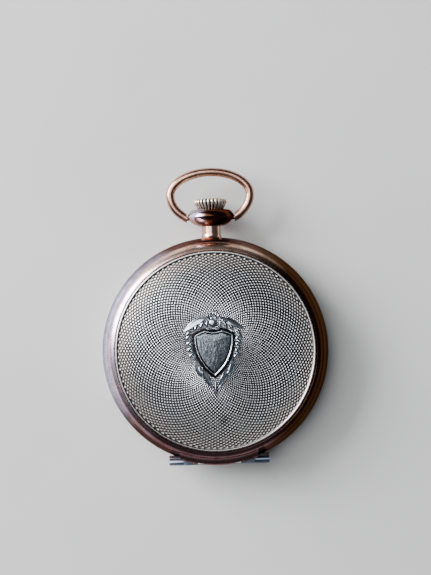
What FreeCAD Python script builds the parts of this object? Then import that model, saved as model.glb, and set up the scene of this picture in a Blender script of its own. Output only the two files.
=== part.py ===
import FreeCAD, Part
import math
import os

import Sketcher
from FreeCAD import Placement, Rotation, Vector

# A crown-wound, open-face pocket watch with a hinged back, a cuvette and a lever movement.
# Millimetres. The watch lies on its crystal: +Z is up through the back, +Y runs to the
# pendant, +X is to the right seen from the back. The origin is on the case's axis, in the
# flat outer face of the crystal.

# Driving dimensions, each kept in the document's sheet under its own name.
SIZES = {
    # crystal and bezel
    "glass_flat_radius": 16.0, "glass_radius": 21.0, "glass_inner_radius": 20.3,
    "glass_thick": 1.0, "glass_edge_low": 1.6, "glass_edge_high": 2.4,
    "bezel_low": 1.1, "bezel_lip_radius": 22.0, "bezel_radius": 23.6, "bezel_curve": 2.4,
    "bezel_shelf_high": 3.1, "dial_clear_radius": 21.5,
    # case middle
    "middle_low": 3.4, "middle_top": 9.2, "middle_bore": 21.45, "ledge_radius": 22.3,
    "ledge_z": 8.3, "middle_edge_radius": 23.9, "middle_curve": 4.373,
    # back cover and cuvette
    "flange_inner": 22.95, "flange_radius": 23.8, "rim_curve": 2.6, "rim_top_radius": 22.25,
    "rim_top": 11.05, "disc_radius": 21.9, "rim_seat": 10.6, "rim_step": 9.9,
    "dome_top": 12.35, "dome_flat": 0.5, "dome_edge_radius": 21.3, "dome_curve": 175.1,
    "bead_radius": 21.4, "bead_top": 11.2, "dome_inner_top": 11.85, "dome_inner_curve": 183.8,
    "cuvette_radius": 22.7, "cuvette_edge": 9.55, "cuvette_top": 10.75,
    "cuvette_shoulder_radius": 21.9, "cuvette_shoulder": 9.75, "cuvette_curve": 240.3,
    "cuvette_inner_top": 10.4, "cuvette_inner_radius": 22.0, "cuvette_inner_edge": 9.4,
    "cuvette_inner_curve": 242.5, "cuvette_foot_radius": 22.3,
    "shield_top": 12.65, "garland_top": 12.5, "ornament_low": 11.9, "ornament_x": -0.3,
    # hinge at six o'clock
    "hood_low": 9.34, "hood_top": 10.0, "hood_radius": 25.0, "hood_curve": 1.4,
    "hood_half": 8.6, "hinge_y": -24.15, "hinge_z": 8.5, "knuckle_radius": 0.78, "pin_radius": 0.35,
    "pin_play": 0.03, "hinge_half": 11.0, "knuckle_gap": 0.06, "notch_y": -23.3,
    "notch_low": 7.7, "bed_low": 6.2, "bed_y": -24.9, "arm_top": 9.5, "arm_low": 9.24,
    "arm_play": 0.08, "web_half": 0.5,
    # pendant, bow, crown and stem
    "stem_z": 6.5, "pendant_bore": 1.25, "neck_radius": 2.05, "neck_inner_y": 22.0,
    "foot_y": 24.3, "foot_radius": 3.1, "foot_curve": 1.6, "neck_low_y": 25.7,
    "neck_top_y": 27.4, "bulb_radius": 5.2, "bulb_y": 29.5, "bulb_low_curve": 4.2,
    "bulb_top_radius": 4.2, "bulb_top_y": 31.0, "bulb_top_curve": 2.0, "cup_radius": 3.95,
    "cup_y": 30.35, "bow_y": 29.3, "bow_pin": 0.5, "bow_socket": 0.55, "bow_pin_inner": 4.1,
    "socket_inner": 4.0, "bow_half_width": 8.8, "bow_wide_y": 34.4, "bow_rise": 5.05,
    "bow_drop": 6.3, "bow_wire": 0.95, "bow_trim": 5.32,
    "crown_low_y": 30.45, "crown_foot_radius": 2.6, "crown_radius": 3.75,
    "crown_wide_y": 32.0, "crown_shoulder_y": 32.9, "crown_top_radius": 3.2,
    "crown_edge_y": 33.35, "crown_top_y": 33.7, "crown_curve": 14.8, "crown_bore_y": 32.5,
    "flute_radius": 0.26, "flute_ring": 3.84,
    "stem_radius": 0.6, "stem_pivot": 0.35, "stem_end_y": 10.6, "stem_step_y": 11.4,
    "groove_low_y": 17.45, "groove_high_y": 18.15, "stem_play": 0.03,
    # movement levels
    "dial_face": 3.2, "dial_back": 4.0, "plate_web": 4.9, "plate_top": 5.8,
    "bridge_low": 8.2, "bridge_top": 9.2, "wheel_gap": 0.05, "top_wheel": 9.6,
    "train_wheel_thick": 0.2, "centre_wheel_low": 6.0, "centre_pinion_high": 6.9,
    "third_wheel_low": 7.05, "third_pinion_high": 6.38, "fourth_wheel_low": 6.45,
    "fourth_pinion_low": 6.8, "fourth_pinion_high": 7.5, "escape_wheel_low": 6.95,
    "escape_pinion_low": 6.35, "escape_pinion_high": 6.8, "low_pivot": 5.3,
    "fork_low": 6.95, "fork_high": 7.15, "roller_low": 7.4, "roller_high": 7.6,
    "hairspring_low": 8.75, "hairspring_high": 8.95, "regulator_low": 9.7,
    "regulator_high": 9.85, "lever_low": 4.25, "lever_high": 4.65,
    "motion_low": 4.1, "motion_high": 4.5,
    # movement radii
    "dial_radius": 21.2, "plate_radius": 21.3, "recess_radius": 19.5, "wall_radius": 19.6,
    "bridge_radius": 20.5, "screw_ring": 20.0, "case_screw_ring": 20.9,
    "dial_foot_ring": 20.1, "dial_foot": 0.4, "dial_foot_high": 5.4, "jewel_radius": 0.8,
    "pivot_radius": 0.2, "pivot_play": 0.03, "arbor_radius": 0.35, "post_radius": 0.3,
    "post_bore": 0.33, "fork_width": 0.5, "stone_reach": 31.0,
    # positions of the arbors
    "barrel_x": 8.206, "barrel_y": 4.687, "crown_wheel_y": 12.6,
    "third_x": 2.076, "third_y": -5.757, "fourth_y": -10.6,
    "escape_x": -5.005, "escape_y": -10.6, "pallet_x": -7.173, "pallet_y": -7.602,
    "balance_x": -10.5, "balance_y": -3.0, "minute_wheel_y": 4.2, "setting_wheel_y": 9.625,
    "click_x": 12.85, "click_y": 13.43, "lever_x": 4.4, "lever_y": 17.8,
    "yoke_x": -5.0, "yoke_y": 13.75,
    # barrel
    "barrel_low": 6.4, "barrel_teeth_top": 6.8, "barrel_wall_top": 7.7, "barrel_top": 8.0,
    "barrel_floor": 6.65, "barrel_radius": 7.1, "barrel_bore": 6.7, "barrel_hole": 1.06,
    "arbor_hub": 2.0, "arbor_top_radius": 1.0, "arbor_low_radius": 0.8,
    # balance
    "balance_clear": 8.6, "balance_rim": 7.4, "balance_rim_inner": 6.5, "rim_low": 7.95,
    "rim_high": 8.65, "cock_low": 9.1, "cock_top": 9.65, "cock_reach": 17.4,
}

doc = FreeCAD.newDocument("PocketWatch")
sheet = doc.addObject("Spreadsheet::Sheet", "Sizes")
for row, (alias, size) in enumerate(SIZES.items(), start=1):
    sheet.set("A%d" % row, alias)
    sheet.set("B%d" % row, str(size))
    sheet.setAlias("B%d" % row, alias)
doc.recompute()

NODES = []
SIGNS = {"+": 1.0, "-": -1.0}


# ---------------------------------------------------------------- sums of the sheet's sizes

def number(text):
    """Value of a sum such as "middle_top - 0.1", whose words are aliases of the sheet."""
    total, sign = 0.0, 1.0
    for word in text.split():
        if word in SIGNS:
            sign = SIGNS[word]
        else:
            total += sign * (float(word) if word[0].isdigit() else sheet.get(word))
    return total


def bound(text):
    """The same sum as an expression that reads the sheet."""
    words = text.split()
    return " ".join(w if w in SIGNS or w[0].isdigit() else "Sizes." + w for w in words)


def span(low, high):
    return "(%s) - (%s)" % (bound(high), bound(low))


# ---------------------------------------------------------------- parametric building blocks

def place(part, x, y, z, turn=Rotation()):
    """Give a part its turn, and bind its position to the sheet."""
    part.Placement = Placement(Vector(number(x), number(y), number(z)), turn)
    for axis, text in zip("xyz", (x, y, z)):
        part.setExpression(".Placement.Base." + axis, bound(text))
    return part


def cylinder(label, radius, low, high, x="0", y="0"):
    """Upright cylinder from low to high."""
    part = doc.addObject("Part::Cylinder", label)
    part.setExpression("Radius", bound(radius))
    part.setExpression("Height", span(low, high))
    return place(part, x, y, low)


def cylinder_x(label, radius, low, high, y, z):
    """Cylinder along X from low to high."""
    part = doc.addObject("Part::Cylinder", label)
    part.setExpression("Radius", bound(radius))
    part.setExpression("Height", span(low, high))
    return place(part, low, y, z, Rotation(Vector(0, 1, 0), 90))


def cylinder_y(label, radius, low, high, x, z):
    """Cylinder along Y from low to high."""
    part = doc.addObject("Part::Cylinder", label)
    part.setExpression("Radius", bound(radius))
    part.setExpression("Height", span(low, high))
    return place(part, x, low, z, Rotation(Vector(1, 0, 0), -90))


def box(label, x, y, z):
    """Box from pairs of low and high sums for x, y and z."""
    part = doc.addObject("Part::Box", label)
    for prop, (low, high) in zip(("Length", "Width", "Height"), (x, y, z)):
        part.setExpression(prop, span(low, high))
    return place(part, x[0], y[0], z[0])


def gather(kind, label, parts):
    joined = doc.addObject("Part::" + kind, label)
    joined.Shapes = list(parts)
    return joined


def fuse(label, *parts):
    return gather("MultiFuse", label, parts)


def common(label, *parts):
    return gather("MultiCommon", label, parts)


def cut(label, base, *tools):
    part = doc.addObject("Part::Cut", label)
    part.Base = base
    part.Tool = tools[0] if len(tools) == 1 else fuse(label + "_tools", *tools)
    return part


def arc_between(start, end, radius, turn):
    """Arc from start to end: turn is 1 for a left-hand bend and -1 for a right-hand one."""
    chord = end - start
    middle = (start + end) * 0.5
    normal = Vector(-chord.y, chord.x, 0).normalize() * turn
    centre = middle + normal * math.sqrt(radius ** 2 - (chord.Length / 2) ** 2)
    first, last = (start, end) if turn > 0 else (end, start)
    angles = [math.atan2(p.y - centre.y, p.x - centre.x) for p in (first, last)]
    return Part.ArcOfCircle(Part.Circle(centre, Vector(0, 0, 1), radius), angles[0], angles[1])


def profile_sketch(body, label, rows, role):
    """Closed outline of (radius, height[, arc radius, turn]) rows, every size from the sheet.

    A row with an arc radius is reached by an arc, and any other row by a straight line.
    """
    sketch = body.newObject("Sketcher::SketchObject", label + "_outline")
    plane = [item for item in body.Origin.OriginFeatures if item.Role == role][0]
    sketch.AttachmentSupport = [(plane, "")]
    sketch.MapMode = "FlatFace"
    points = [Vector(number(row[0]), number(row[1]), 0) for row in rows]
    ends = []
    for index, row in enumerate(rows):
        start, end = points[index - 1], points[index]
        if len(row) == 2:
            sketch.addGeometry(Part.LineSegment(start, end))
            ends.append((1, 2))
        else:
            sketch.addGeometry(arc_between(start, end, number(row[2]), row[3]))
            ends.append((1, 2) if row[3] > 0 else (2, 1))
    for index, row in enumerate(rows):
        last = index - 1 if index else len(rows) - 1
        sketch.addConstraint(
            Sketcher.Constraint("Coincident", last, ends[last][1], index, ends[index][0]))
        for kind, text in zip(("DistanceX", "DistanceY"), row):
            rule = Sketcher.Constraint(kind, -1, 1, index, ends[index][1], number(text))
            sketch.setExpression("Constraints[%d]" % sketch.addConstraint(rule), bound(text))
        if len(row) > 2:
            rule = Sketcher.Constraint("Radius", index, number(row[2]))
            sketch.setExpression("Constraints[%d]" % sketch.addConstraint(rule), bound(row[2]))
    return sketch


def turned(label, rows, role="XZ_Plane"):
    """Body turned from a profile: about Z in the XZ plane, about Y in the XY plane."""
    body = doc.addObject("PartDesign::Body", label)
    sketch = profile_sketch(body, label, rows, role)
    feature = body.newObject("PartDesign::Revolution", label + "_turning")
    feature.Profile = sketch
    feature.ReferenceAxis = (sketch, ["V_Axis"])
    feature.Angle = 360
    return body


def turned_along_stem(label, rows):
    return place(turned(label, rows, "XY_Plane"), "0", "0", "stem_z")


def node(part, name):
    """Name a finished sub-part: its Label is the name of its file."""
    part.Label = name
    NODES.append(part)
    return part


def shaped(name, shape):
    """Sub-part whose shape is worked out here from the sheet's sizes."""
    part = doc.addObject("Part::Feature", name + "_shape")
    part.Shape = shape
    return node(part, name)


# ---------------------------------------------------------------- plain shapes for wheelwork

def disc(radius, low, high, x=0.0, y=0.0):
    return Part.makeCylinder(radius, high - low, Vector(x, y, low))


def ring(outer, inner, low, high, x=0.0, y=0.0):
    return disc(outer, low, high, x, y).cut(disc(inner, low, high, x, y))


def bar(start, end, width, low, high):
    """Flat bar with round ends between two points of the plan."""
    run = Vector(end[0] - start[0], end[1] - start[1], 0)
    slab = Part.makeBox(run.Length, width, high - low, Vector(0, -width / 2, low))
    slab.rotate(Vector(), Vector(0, 0, 1), math.degrees(math.atan2(run.y, run.x)))
    slab.translate(Vector(start[0], start[1], 0))
    caps = [disc(width / 2, low, high, x, y) for x, y in (start, end)]
    return slab.fuse(caps).removeSplitter()


def around(x, y, radius, degrees):
    """Point on a circle about x, y."""
    angle = math.radians(degrees)
    return x + radius * math.cos(angle), y + radius * math.sin(angle)


def toothed_face(outline, teeth, first_tooth):
    """Face whose outline repeats (radius, share of a tooth step) points round the centre."""
    step = 2 * math.pi / teeth
    start = math.radians(first_tooth)
    points = []
    for tooth in range(teeth):
        for radius, share in outline:
            angle = start + (tooth + share) * step
            points.append(Vector(radius * math.cos(angle), radius * math.sin(angle), 0))
    return Part.Face(Part.makePolygon(points + points[:1]))


def gear(teeth, module, low, high, x=0.0, y=0.0, first_tooth=0.0):
    """Spur wheel with straight-flanked teeth; one tooth is centred on first_tooth degrees."""
    pitch_radius = teeth * module / 2
    root, tip = pitch_radius - 1.25 * module, pitch_radius + 0.85 * module
    outline = ((root, -0.29), (tip, -0.13), (tip, 0.13), (root, 0.29))
    wheel = toothed_face(outline, teeth, first_tooth).extrude(Vector(0, 0, high - low))
    wheel.translate(Vector(x, y, low))
    return wheel


def crossings(inner, outer, arms, arm_width, low, high, x=0.0, y=0.0):
    """The windows between the arms of a wheel, as solids to cut away."""
    windows = ring(outer, inner, low, high)
    for arm in range(arms):
        blade = Part.makeBox(outer * 2, arm_width, high - low, Vector(0, -arm_width / 2, low))
        blade.rotate(Vector(), Vector(0, 0, 1), 360.0 * arm / arms)
        windows = windows.cut(blade)
    windows.translate(Vector(x, y, 0))
    return windows


def facing_gap(towards, teeth):
    """First tooth angle that points a gap in a direction."""
    return towards + 180.0 / teeth


def direction(start, end):
    return math.degrees(math.atan2(end[1] - start[1], end[0] - start[0]))


def spiral_band(x, y, inner, outer, turns, thick, low, high):
    """Flat strip wound in an even spiral from the inner radius to the outer one."""
    steps = 16 * turns
    edges = []
    for side in (-thick / 2, thick / 2):
        points = []
        for step in range(steps + 1):
            angle = 2 * math.pi * turns * step / steps
            radius = inner + (outer - inner) * step / steps + side
            points.append(Vector(radius * math.cos(angle), radius * math.sin(angle), 0))
        curve = Part.BSplineCurve()
        curve.interpolate(points)
        edges.append(curve.toShape())
    near, far = edges
    ends = [Part.makeLine(near.Vertexes[i].Point, far.Vertexes[i].Point) for i in (0, 1)]
    wire = Part.Wire([near, ends[1], far, ends[0]])
    band = Part.Face(wire).extrude(Vector(0, 0, high - low))
    band.translate(Vector(x, y, low))
    return band


# ---------------------------------------------------------------- case

KNUCKLES = 7
MIDDLE_PLACES, BACK_PLACES, CUVETTE_PLACES = (0, 3, 6), (1, 5), (2, 4)


def knuckle_span(index, spread="0"):
    """Ends along X of one of the seven places on the hinge pin."""
    pitch = 2 * number("hinge_half") / KNUCKLES
    return ("%.4f - hinge_half + knuckle_gap - %s" % (index * pitch, spread),
            "%.4f - hinge_half + %s" % ((index + 1) * pitch, spread))


def hinge_knuckles(label, places):
    return [cylinder_x("%s_knuckle_%d" % (label, index), "knuckle_radius",
                       *knuckle_span(index), "hinge_y", "hinge_z") for index in places]


def hinge_arms(label, places, inner_y, spread="0"):
    """Arms from a cover's knuckles in over the middle's edge to inner_y."""
    arms = []
    for index in places:
        x = knuckle_span(index, spread)
        name = "%s_arm_%d" % (label, index)
        arms.append(box(name + "_post", x, ("hinge_y - 0.45", "notch_y - 0.05"),
                        ("hinge_z - " + spread, "arm_top + " + spread)))
        arms.append(box(name + "_bar", x, ("notch_y - 0.3", inner_y),
                        ("arm_low - " + spread, "arm_top + " + spread)))
    return arms


def case_middle():
    shell = turned("middle_ring", [
        ("middle_bore", "middle_low"), ("middle_edge_radius", "middle_low"),
        ("middle_edge_radius", "middle_top", "middle_curve", 1),
        ("ledge_radius", "middle_top"), ("ledge_radius", "ledge_z"),
        ("middle_bore", "ledge_z")])
    notch = box("hinge_notch", ("0 - hinge_half - 0.1", "hinge_half + 0.1"),
                ("hinge_y - 2", "notch_y"), ("notch_low", "middle_top + 1"))
    bed = box("hinge_bed", ("0 - hinge_half", "hinge_half"), ("bed_y", "notch_y + 0.3"),
              ("bed_low", "notch_low"))
    neck_hole = cylinder_y("neck_hole", "neck_radius", "neck_inner_y - 1", "foot_y + 2",
                           "0", "stem_z")
    pin_hole = cylinder_x("middle_pin_hole", "pin_radius", "0 - hinge_half - 1",
                          "hinge_half + 1", "hinge_y", "hinge_z")
    webs = [box("hinge_web_%d" % index, knuckle_span(index),
                ("hinge_y - web_half", "hinge_y + web_half"), ("notch_low - 0.1", "hinge_z"))
            for index in MIDDLE_PLACES]
    body = fuse("middle_body", cut("middle_cut", shell, notch, neck_hole), bed,
                *(hinge_knuckles("middle", MIDDLE_PLACES) + webs))
    return node(cut("case_middle", body, pin_hole), "case_middle")


def pendant(middle):
    body = turned_along_stem("pendant_turned", [
        ("pendant_bore", "neck_inner_y"), ("neck_radius", "neck_inner_y"),
        ("neck_radius", "foot_y"), ("foot_radius", "foot_y"),
        ("neck_radius", "neck_low_y", "foot_curve", -1), ("neck_radius", "neck_top_y"),
        ("bulb_radius", "bulb_y", "bulb_low_curve", 1),
        ("bulb_top_radius", "bulb_top_y", "bulb_top_curve", 1),
        ("cup_radius", "bulb_top_y"), ("cup_radius", "cup_y"), ("pendant_bore", "cup_y")])
    sockets = [cylinder_x("bow_socket_" + side, "bow_socket", low, high, "bow_y", "stem_z")
               for side, low, high in (("right", "socket_inner", "bulb_radius + 1"),
                                       ("left", "0 - bulb_radius - 1", "0 - socket_inner"))]
    node(cut("pendant", body, middle, *sockets), "pendant")


def bow():
    """Oval wire loop with two inward pins."""
    wide, centre = number("bow_half_width"), Vector(0, number("bow_wide_y"), 0)
    top = Part.Ellipse(centre + Vector(wide, 0, 0), centre + Vector(0, number("bow_rise"), 0),
                       centre).toShape(0, math.pi)
    drop = number("bow_drop")
    low = Part.Ellipse(centre + Vector(wide, 0, 0), centre + Vector(0, drop, 0), centre)
    trim = number("bow_trim")
    end = math.acos(trim / wide) + 0.15
    right = low.toShape(2 * math.pi - end, 2 * math.pi)
    left = low.toShape(math.pi, math.pi + end)
    path = Part.Wire([right, top, left])
    start = right.Vertexes[0].Point
    heading = right.tangentAt(right.FirstParameter)
    section = Part.Wire(Part.Circle(start, heading, number("bow_wire")).toShape())
    loop = path.makePipeShell([section], True, True)
    loop.translate(Vector(0, 0, number("stem_z")))
    gap = Part.makeBox(2 * trim, 4, 4, Vector(-trim, number("bow_y") - 2.4,
                                              number("stem_z") - 2))
    loop = loop.cut(gap)
    for side in (1, -1):
        inner = Vector(side * number("bow_pin_inner"), number("bow_y"), number("stem_z"))
        reach = trim + 0.35 - number("bow_pin_inner")
        loop = loop.fuse(Part.makeCylinder(number("bow_pin"), reach, inner,
                                           Vector(side, 0, 0)))
    shaped("bow", loop.removeSplitter())


def crown(flutes=24):
    body = turned_along_stem("crown_turned", [
        ("stem_radius", "crown_low_y"), ("crown_foot_radius", "crown_low_y"),
        ("crown_radius", "crown_wide_y"), ("crown_radius", "crown_shoulder_y"),
        ("crown_top_radius", "crown_edge_y"), ("dome_flat", "crown_top_y", "crown_curve", 1),
        ("0", "crown_top_y"), ("0", "crown_bore_y"), ("stem_radius", "crown_bore_y")])
    grooves = []
    for flute in range(flutes):
        x, z = around(0, number("stem_z"), number("flute_ring"), 360.0 * flute / flutes)
        groove = cylinder_y("flute_%d" % flute, "flute_radius", "crown_low_y - 1",
                            "crown_top_y + 1", "0", "0")
        groove.setExpression(".Placement.Base.x", None)
        groove.setExpression(".Placement.Base.z", None)
        groove.Placement.Base = Vector(x, groove.Placement.Base.y, z)
        grooves.append(groove)
    node(cut("crown", body, *grooves), "crown")


def winding_stem():
    node(turned_along_stem("winding_stem", [
        ("0", "stem_end_y"), ("stem_pivot", "stem_end_y"), ("stem_pivot", "stem_step_y"),
        ("stem_radius", "stem_step_y"), ("stem_radius", "groove_low_y"),
        ("stem_pivot", "groove_low_y"), ("stem_pivot", "groove_high_y"),
        ("stem_radius", "groove_high_y"), ("stem_radius", "crown_bore_y"),
        ("0", "crown_bore_y")]), "winding_stem")


def bezel_and_crystal():
    node(turned("bezel", [
        ("glass_radius", "bezel_low"), ("bezel_lip_radius", "bezel_low"),
        ("bezel_radius", "middle_low", "bezel_curve", 1),
        ("dial_clear_radius", "middle_low"), ("dial_clear_radius", "bezel_shelf_high"),
        ("glass_inner_radius", "bezel_shelf_high"), ("glass_inner_radius", "glass_edge_high"),
        ("glass_radius", "glass_edge_high")]), "bezel")
    node(turned("crystal", [
        ("0", "0"), ("glass_flat_radius", "0"), ("glass_radius", "glass_edge_low"),
        ("glass_radius", "glass_edge_high"), ("glass_inner_radius", "glass_edge_high"),
        ("glass_flat_radius - 0.3", "glass_thick"), ("0", "glass_thick")]), "crystal")


def back_cover():
    """Silver disc of the back, domed, with a thin bead round its edge."""
    return node(turned("back_cover", [
        ("dome_flat", "dome_top", "dome_curve", 1), ("0", "dome_top"),
        ("0", "dome_inner_top"), ("dome_flat", "dome_inner_top"),
        ("bead_radius", "rim_seat", "dome_inner_curve", -1), ("disc_radius", "rim_seat"),
        ("disc_radius", "bead_top"), ("bead_radius", "bead_top"),
        ("dome_edge_radius", "rim_top")]), "back_cover")


def back_cover_rim():
    """Gold ring round the disc: it carries the cover's knuckles and a lip over the hinge."""
    body = turned("back_rim_ring", [
        ("flange_inner", "middle_top"), ("flange_radius", "middle_top"),
        ("rim_top_radius", "rim_top", "rim_curve", 1), ("disc_radius", "rim_top - 0.3"),
        ("disc_radius", "rim_seat"), ("flange_inner", "rim_step")])
    hood = turned("hinge_hood_ring", [
        ("flange_inner + 0.4", "hood_low"), ("hood_radius", "hood_low"),
        ("flange_radius", "hood_top", "hood_curve", 1), ("flange_inner + 0.4", "hood_top")])
    hood = common("hinge_hood", hood, box(
        "hinge_hood_span", ("0 - hood_half", "hood_half"), ("0 - hood_radius - 1", "0"),
        ("hood_low - 1", "hood_top + 1")))
    body = fuse("back_rim_hooded", body, hood)
    clearance = cylinder_x("back_hinge_clearance", "knuckle_radius + 0.08",
                           "0 - hinge_half - 0.1", "hinge_half + 0.1", "hinge_y", "hinge_z")
    notches = hinge_arms("cuvette_space", CUVETTE_PLACES, "0 - cuvette_inner_radius", "arm_play")
    body = cut("back_rim_cut", body, clearance, *notches)
    arms = hinge_arms("back", BACK_PLACES, "0 - flange_inner - 0.1")
    body = fuse("back_rim_body", body, *(hinge_knuckles("back", BACK_PLACES) + arms))
    hole = cylinder_x("back_pin_hole", "pin_radius + pin_play", "0 - hinge_half - 1",
                      "hinge_half + 1", "hinge_y", "hinge_z")
    node(cut("back_cover_rim", body, hole), "back_cover_rim")


def cuvette():
    """Inner dust cover on the same hinge pin."""
    body = turned("cuvette_shell", [
        ("dome_flat", "cuvette_top", "cuvette_curve", 1), ("0", "cuvette_top"),
        ("0", "cuvette_inner_top"), ("dome_flat", "cuvette_inner_top"),
        ("cuvette_inner_radius", "cuvette_inner_edge", "cuvette_inner_curve", -1),
        ("cuvette_foot_radius", "middle_top"), ("cuvette_radius", "middle_top"),
        ("cuvette_radius", "cuvette_edge"), ("cuvette_shoulder_radius", "cuvette_shoulder")])
    arms = hinge_arms("cuvette", CUVETTE_PLACES, "0 - cuvette_inner_radius")
    body = fuse("cuvette_body", body, *(hinge_knuckles("cuvette", CUVETTE_PLACES) + arms))
    hole = cylinder_x("cuvette_pin_hole", "pin_radius + pin_play", "0 - hinge_half - 1",
                      "hinge_half + 1", "hinge_y", "hinge_z")
    node(cut("cuvette", body, hole), "cuvette")


def hinge_pin():
    node(cylinder_x("hinge_pin", "pin_radius", "0 - hinge_half", "hinge_half",
                    "hinge_y", "hinge_z"), "hinge_pin")


# Leaves and ribbons on one side of the shield: (start, end, width), x counted from its middle.
SIDE_LEAVES = (
    ((1.4, 7.3), (6.5, 4.7), 1.3), ((1.5, 6.2), (3.6, 4.9), 0.9),
    ((4.4, 3.9), (5.7, 2.9), 0.8), ((6.1, 3.4), (4.8, 2.2), 0.8),
    ((4.5, 2.3), (6.0, 1.2), 0.9), ((6.1, 1.6), (4.9, 0.3), 0.9),
    ((4.6, 0.6), (5.9, -0.6), 0.9), ((5.7, -0.4), (4.5, -1.7), 0.8),
    ((4.3, -0.8), (5.2, -2.1), 0.7), ((4.1, -0.9), (2.95, -5.25), 0.9),
    ((2.2, -4.0), (0.75, -7.8), 0.9), ((0.5, 7.2), (1.3, 8.4), 0.7))
MIDDLE_LEAVES = (((0, 7.3), (0, 8.8), 0.8), ((0, -6.6), (-0.2, -9.4), 0.7))


def leaf(start, end, width):
    """Pointed leaf between two points of the plan, as a face at height zero."""
    tail, tip = Vector(start[0], start[1], 0), Vector(end[0], end[1], 0)
    run = tip - tail
    across = Vector(-run.y, run.x, 0).normalize() * (width / 2)
    middle = (tail + tip) * 0.5
    edges = [Part.Arc(tail, middle + across, tip).toShape(),
             Part.Arc(tip, middle - across, tail).toShape()]
    return Part.Face(Part.Wire(edges))


def shield_and_garland(cover):
    """Applied shield and the wreath of leaves round it, cut to sit on the dome."""
    half, top, point = 4.15, 3.7, -5.25
    dip, peak, peak_x = 4.3, 4.65, 1.9
    left, right, tip = Vector(-half, top, 0), Vector(half, top, 0), Vector(0, point, 0)
    edges = [Part.Arc(left, Vector(-half + 1.1, 4.2, 0), Vector(-peak_x, peak, 0)).toShape(),
             Part.Arc(Vector(-peak_x, peak, 0), Vector(0, dip, 0),
                      Vector(peak_x, peak, 0)).toShape(),
             Part.Arc(Vector(peak_x, peak, 0), Vector(half - 1.1, 4.2, 0), right).toShape(),
             Part.Arc(right, Vector(half * 0.78, -1.4, 0), tip).toShape(),
             Part.Arc(tip, Vector(-half * 0.78, -1.4, 0), left).toShape()]
    low = number("ornament_low")
    shield = Part.Face(Part.Wire(edges)).extrude(Vector(0, 0, number("shield_top") - low))
    shift = Vector(number("ornament_x"), 0, low)
    shield.translate(shift)
    shaped("shield", shield.cut(cover.Shape))

    height = Vector(0, 0, number("garland_top") - low)
    leaves = [leaf(*blade).extrude(height) for blade in MIDDLE_LEAVES]
    for start, end, width in SIDE_LEAVES:
        for side in (-1, 1):
            blade = leaf((side * start[0], start[1]), (side * end[0], end[1]), width)
            leaves.append(blade.extrude(height))
    flower = Part.makeCylinder(1.25, height.z, Vector(0, 6.4, 0))
    wreath = flower.fuse(leaves)
    wreath.translate(shift)
    shaped("garland", wreath.cut([cover.Shape, shield]).removeSplitter())


# ---------------------------------------------------------------- movement: plate and bridges

def spot(name):
    """Centre of an arbor in the plan."""
    x = number(name + "_x") if name + "_x" in SIZES else 0.0
    return x, number(name + "_y")


# Teeth of each wheel and pinion.
TEETH = {"barrel": 78, "centre_pinion": 12, "centre": 64, "third_pinion": 8, "third": 60,
         "fourth_pinion": 8, "fourth": 70, "escape_pinion": 7, "escape": 15,
         "ratchet": 52, "crown_wheel": 24, "winding_pinion": 14, "cannon": 12,
         "minute": 36, "minute_pinion": 10, "hour": 40, "setting": 26}
# Module of each pair that meshes, in millimetres.
BARREL_MODULE, CENTRE_MODULE, THIRD_MODULE, FOURTH_MODULE = 0.21, 0.17, 0.155, 0.13
WINDING_MODULE, MINUTE_MODULE, HOUR_MODULE = 0.3, 0.175, 0.168

CENTRE = (0.0, 0.0)
DIAL_FEET = (45, 165, 285)
BRIDGE_ARBORS = ("third", "fourth", "escape")
SCREW_ANGLES = {"barrel": (28, 68, 102), "train": (350, 300, 272), "escape": (238,),
                "balance": (122, 138)}
CASE_SCREW_ANGLES = (200, 6.2)


def bridge_screw_shapes():
    """Flush screws through the bridges into the plate's wall."""
    screws = []
    for bridge, angles in SCREW_ANGLES.items():
        top = number("cock_low") if bridge == "balance" else number("bridge_top")
        for angle in angles:
            x, y = around(0, 0, number("screw_ring"), angle)
            head = disc(0.4, top - 0.4, top, x, y)
            screws.append(head.fuse(disc(0.25, top - 2.2, top - 0.4, x, y)))
    return screws


def case_screw_shapes(clearance=0.0, head_top=8.75):
    screws = []
    for angle in CASE_SCREW_ANGLES:
        x, y = around(0, 0, number("case_screw_ring"), angle)
        head = disc(0.85 + clearance, number("ledge_z"), head_top, x, y)
        screws.append(head.fuse(disc(0.3, 6.8, number("ledge_z"), x, y)))
    return screws


def dial_foot_shapes():
    """Pins on the dial's back, which stand in holes of the plate."""
    return [disc(number("dial_foot"), number("dial_back"), number("dial_foot_high"),
                 *around(0, 0, number("dial_foot_ring"), angle)) for angle in DIAL_FEET]


def main_plate():
    """Bottom plate with its outer wall, the posts of the motion work and the stem's bearing."""
    web, top = number("plate_web"), number("plate_top")
    plate = disc(number("plate_radius"), number("dial_back"), number("bridge_low"))
    plate = plate.cut(disc(number("recess_radius"), number("dial_back"), web))
    plate = plate.cut(disc(number("wall_radius"), top, number("bridge_low")))
    stem_z = number("stem_z")
    bearing = Part.makeBox(2.4, 0.9, 2.3, Vector(-1.2, 10.4, top))
    post_lows = {"minute_wheel": 4.1, "setting_wheel": 4.4, "lever": 4.2, "yoke": 4.2}
    posts = [disc(number("post_radius"), post_low, web, *spot(name))
             for name, post_low in post_lows.items()]
    plate = plate.fuse([bearing] + posts)
    slot = Part.makeBox(5.0, 8.1, 1.1, Vector(-2.5, 11.35, web - 0.1))
    holes = [slot, disc(0.65, web, top, *CENTRE), disc(0.85, web, top, *spot("barrel")),
             Part.makeCylinder(number("stem_radius") + 0.05, 4, Vector(0, 18.5, stem_z),
                               Vector(0, 1, 0)),
             Part.makeCylinder(number("stem_pivot") + 0.03, 2, Vector(0, 10, stem_z),
                               Vector(0, 1, 0))]
    for name in ("third", "fourth", "escape", "pallet", "balance"):
        holes.append(disc(number("jewel_radius"), web, top, *spot(name)))
    holes += dial_foot_shapes()
    holes += bridge_screw_shapes() + case_screw_shapes() + pallet_screw_shapes()
    shaped("main_plate", plate.cut(holes))


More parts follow.
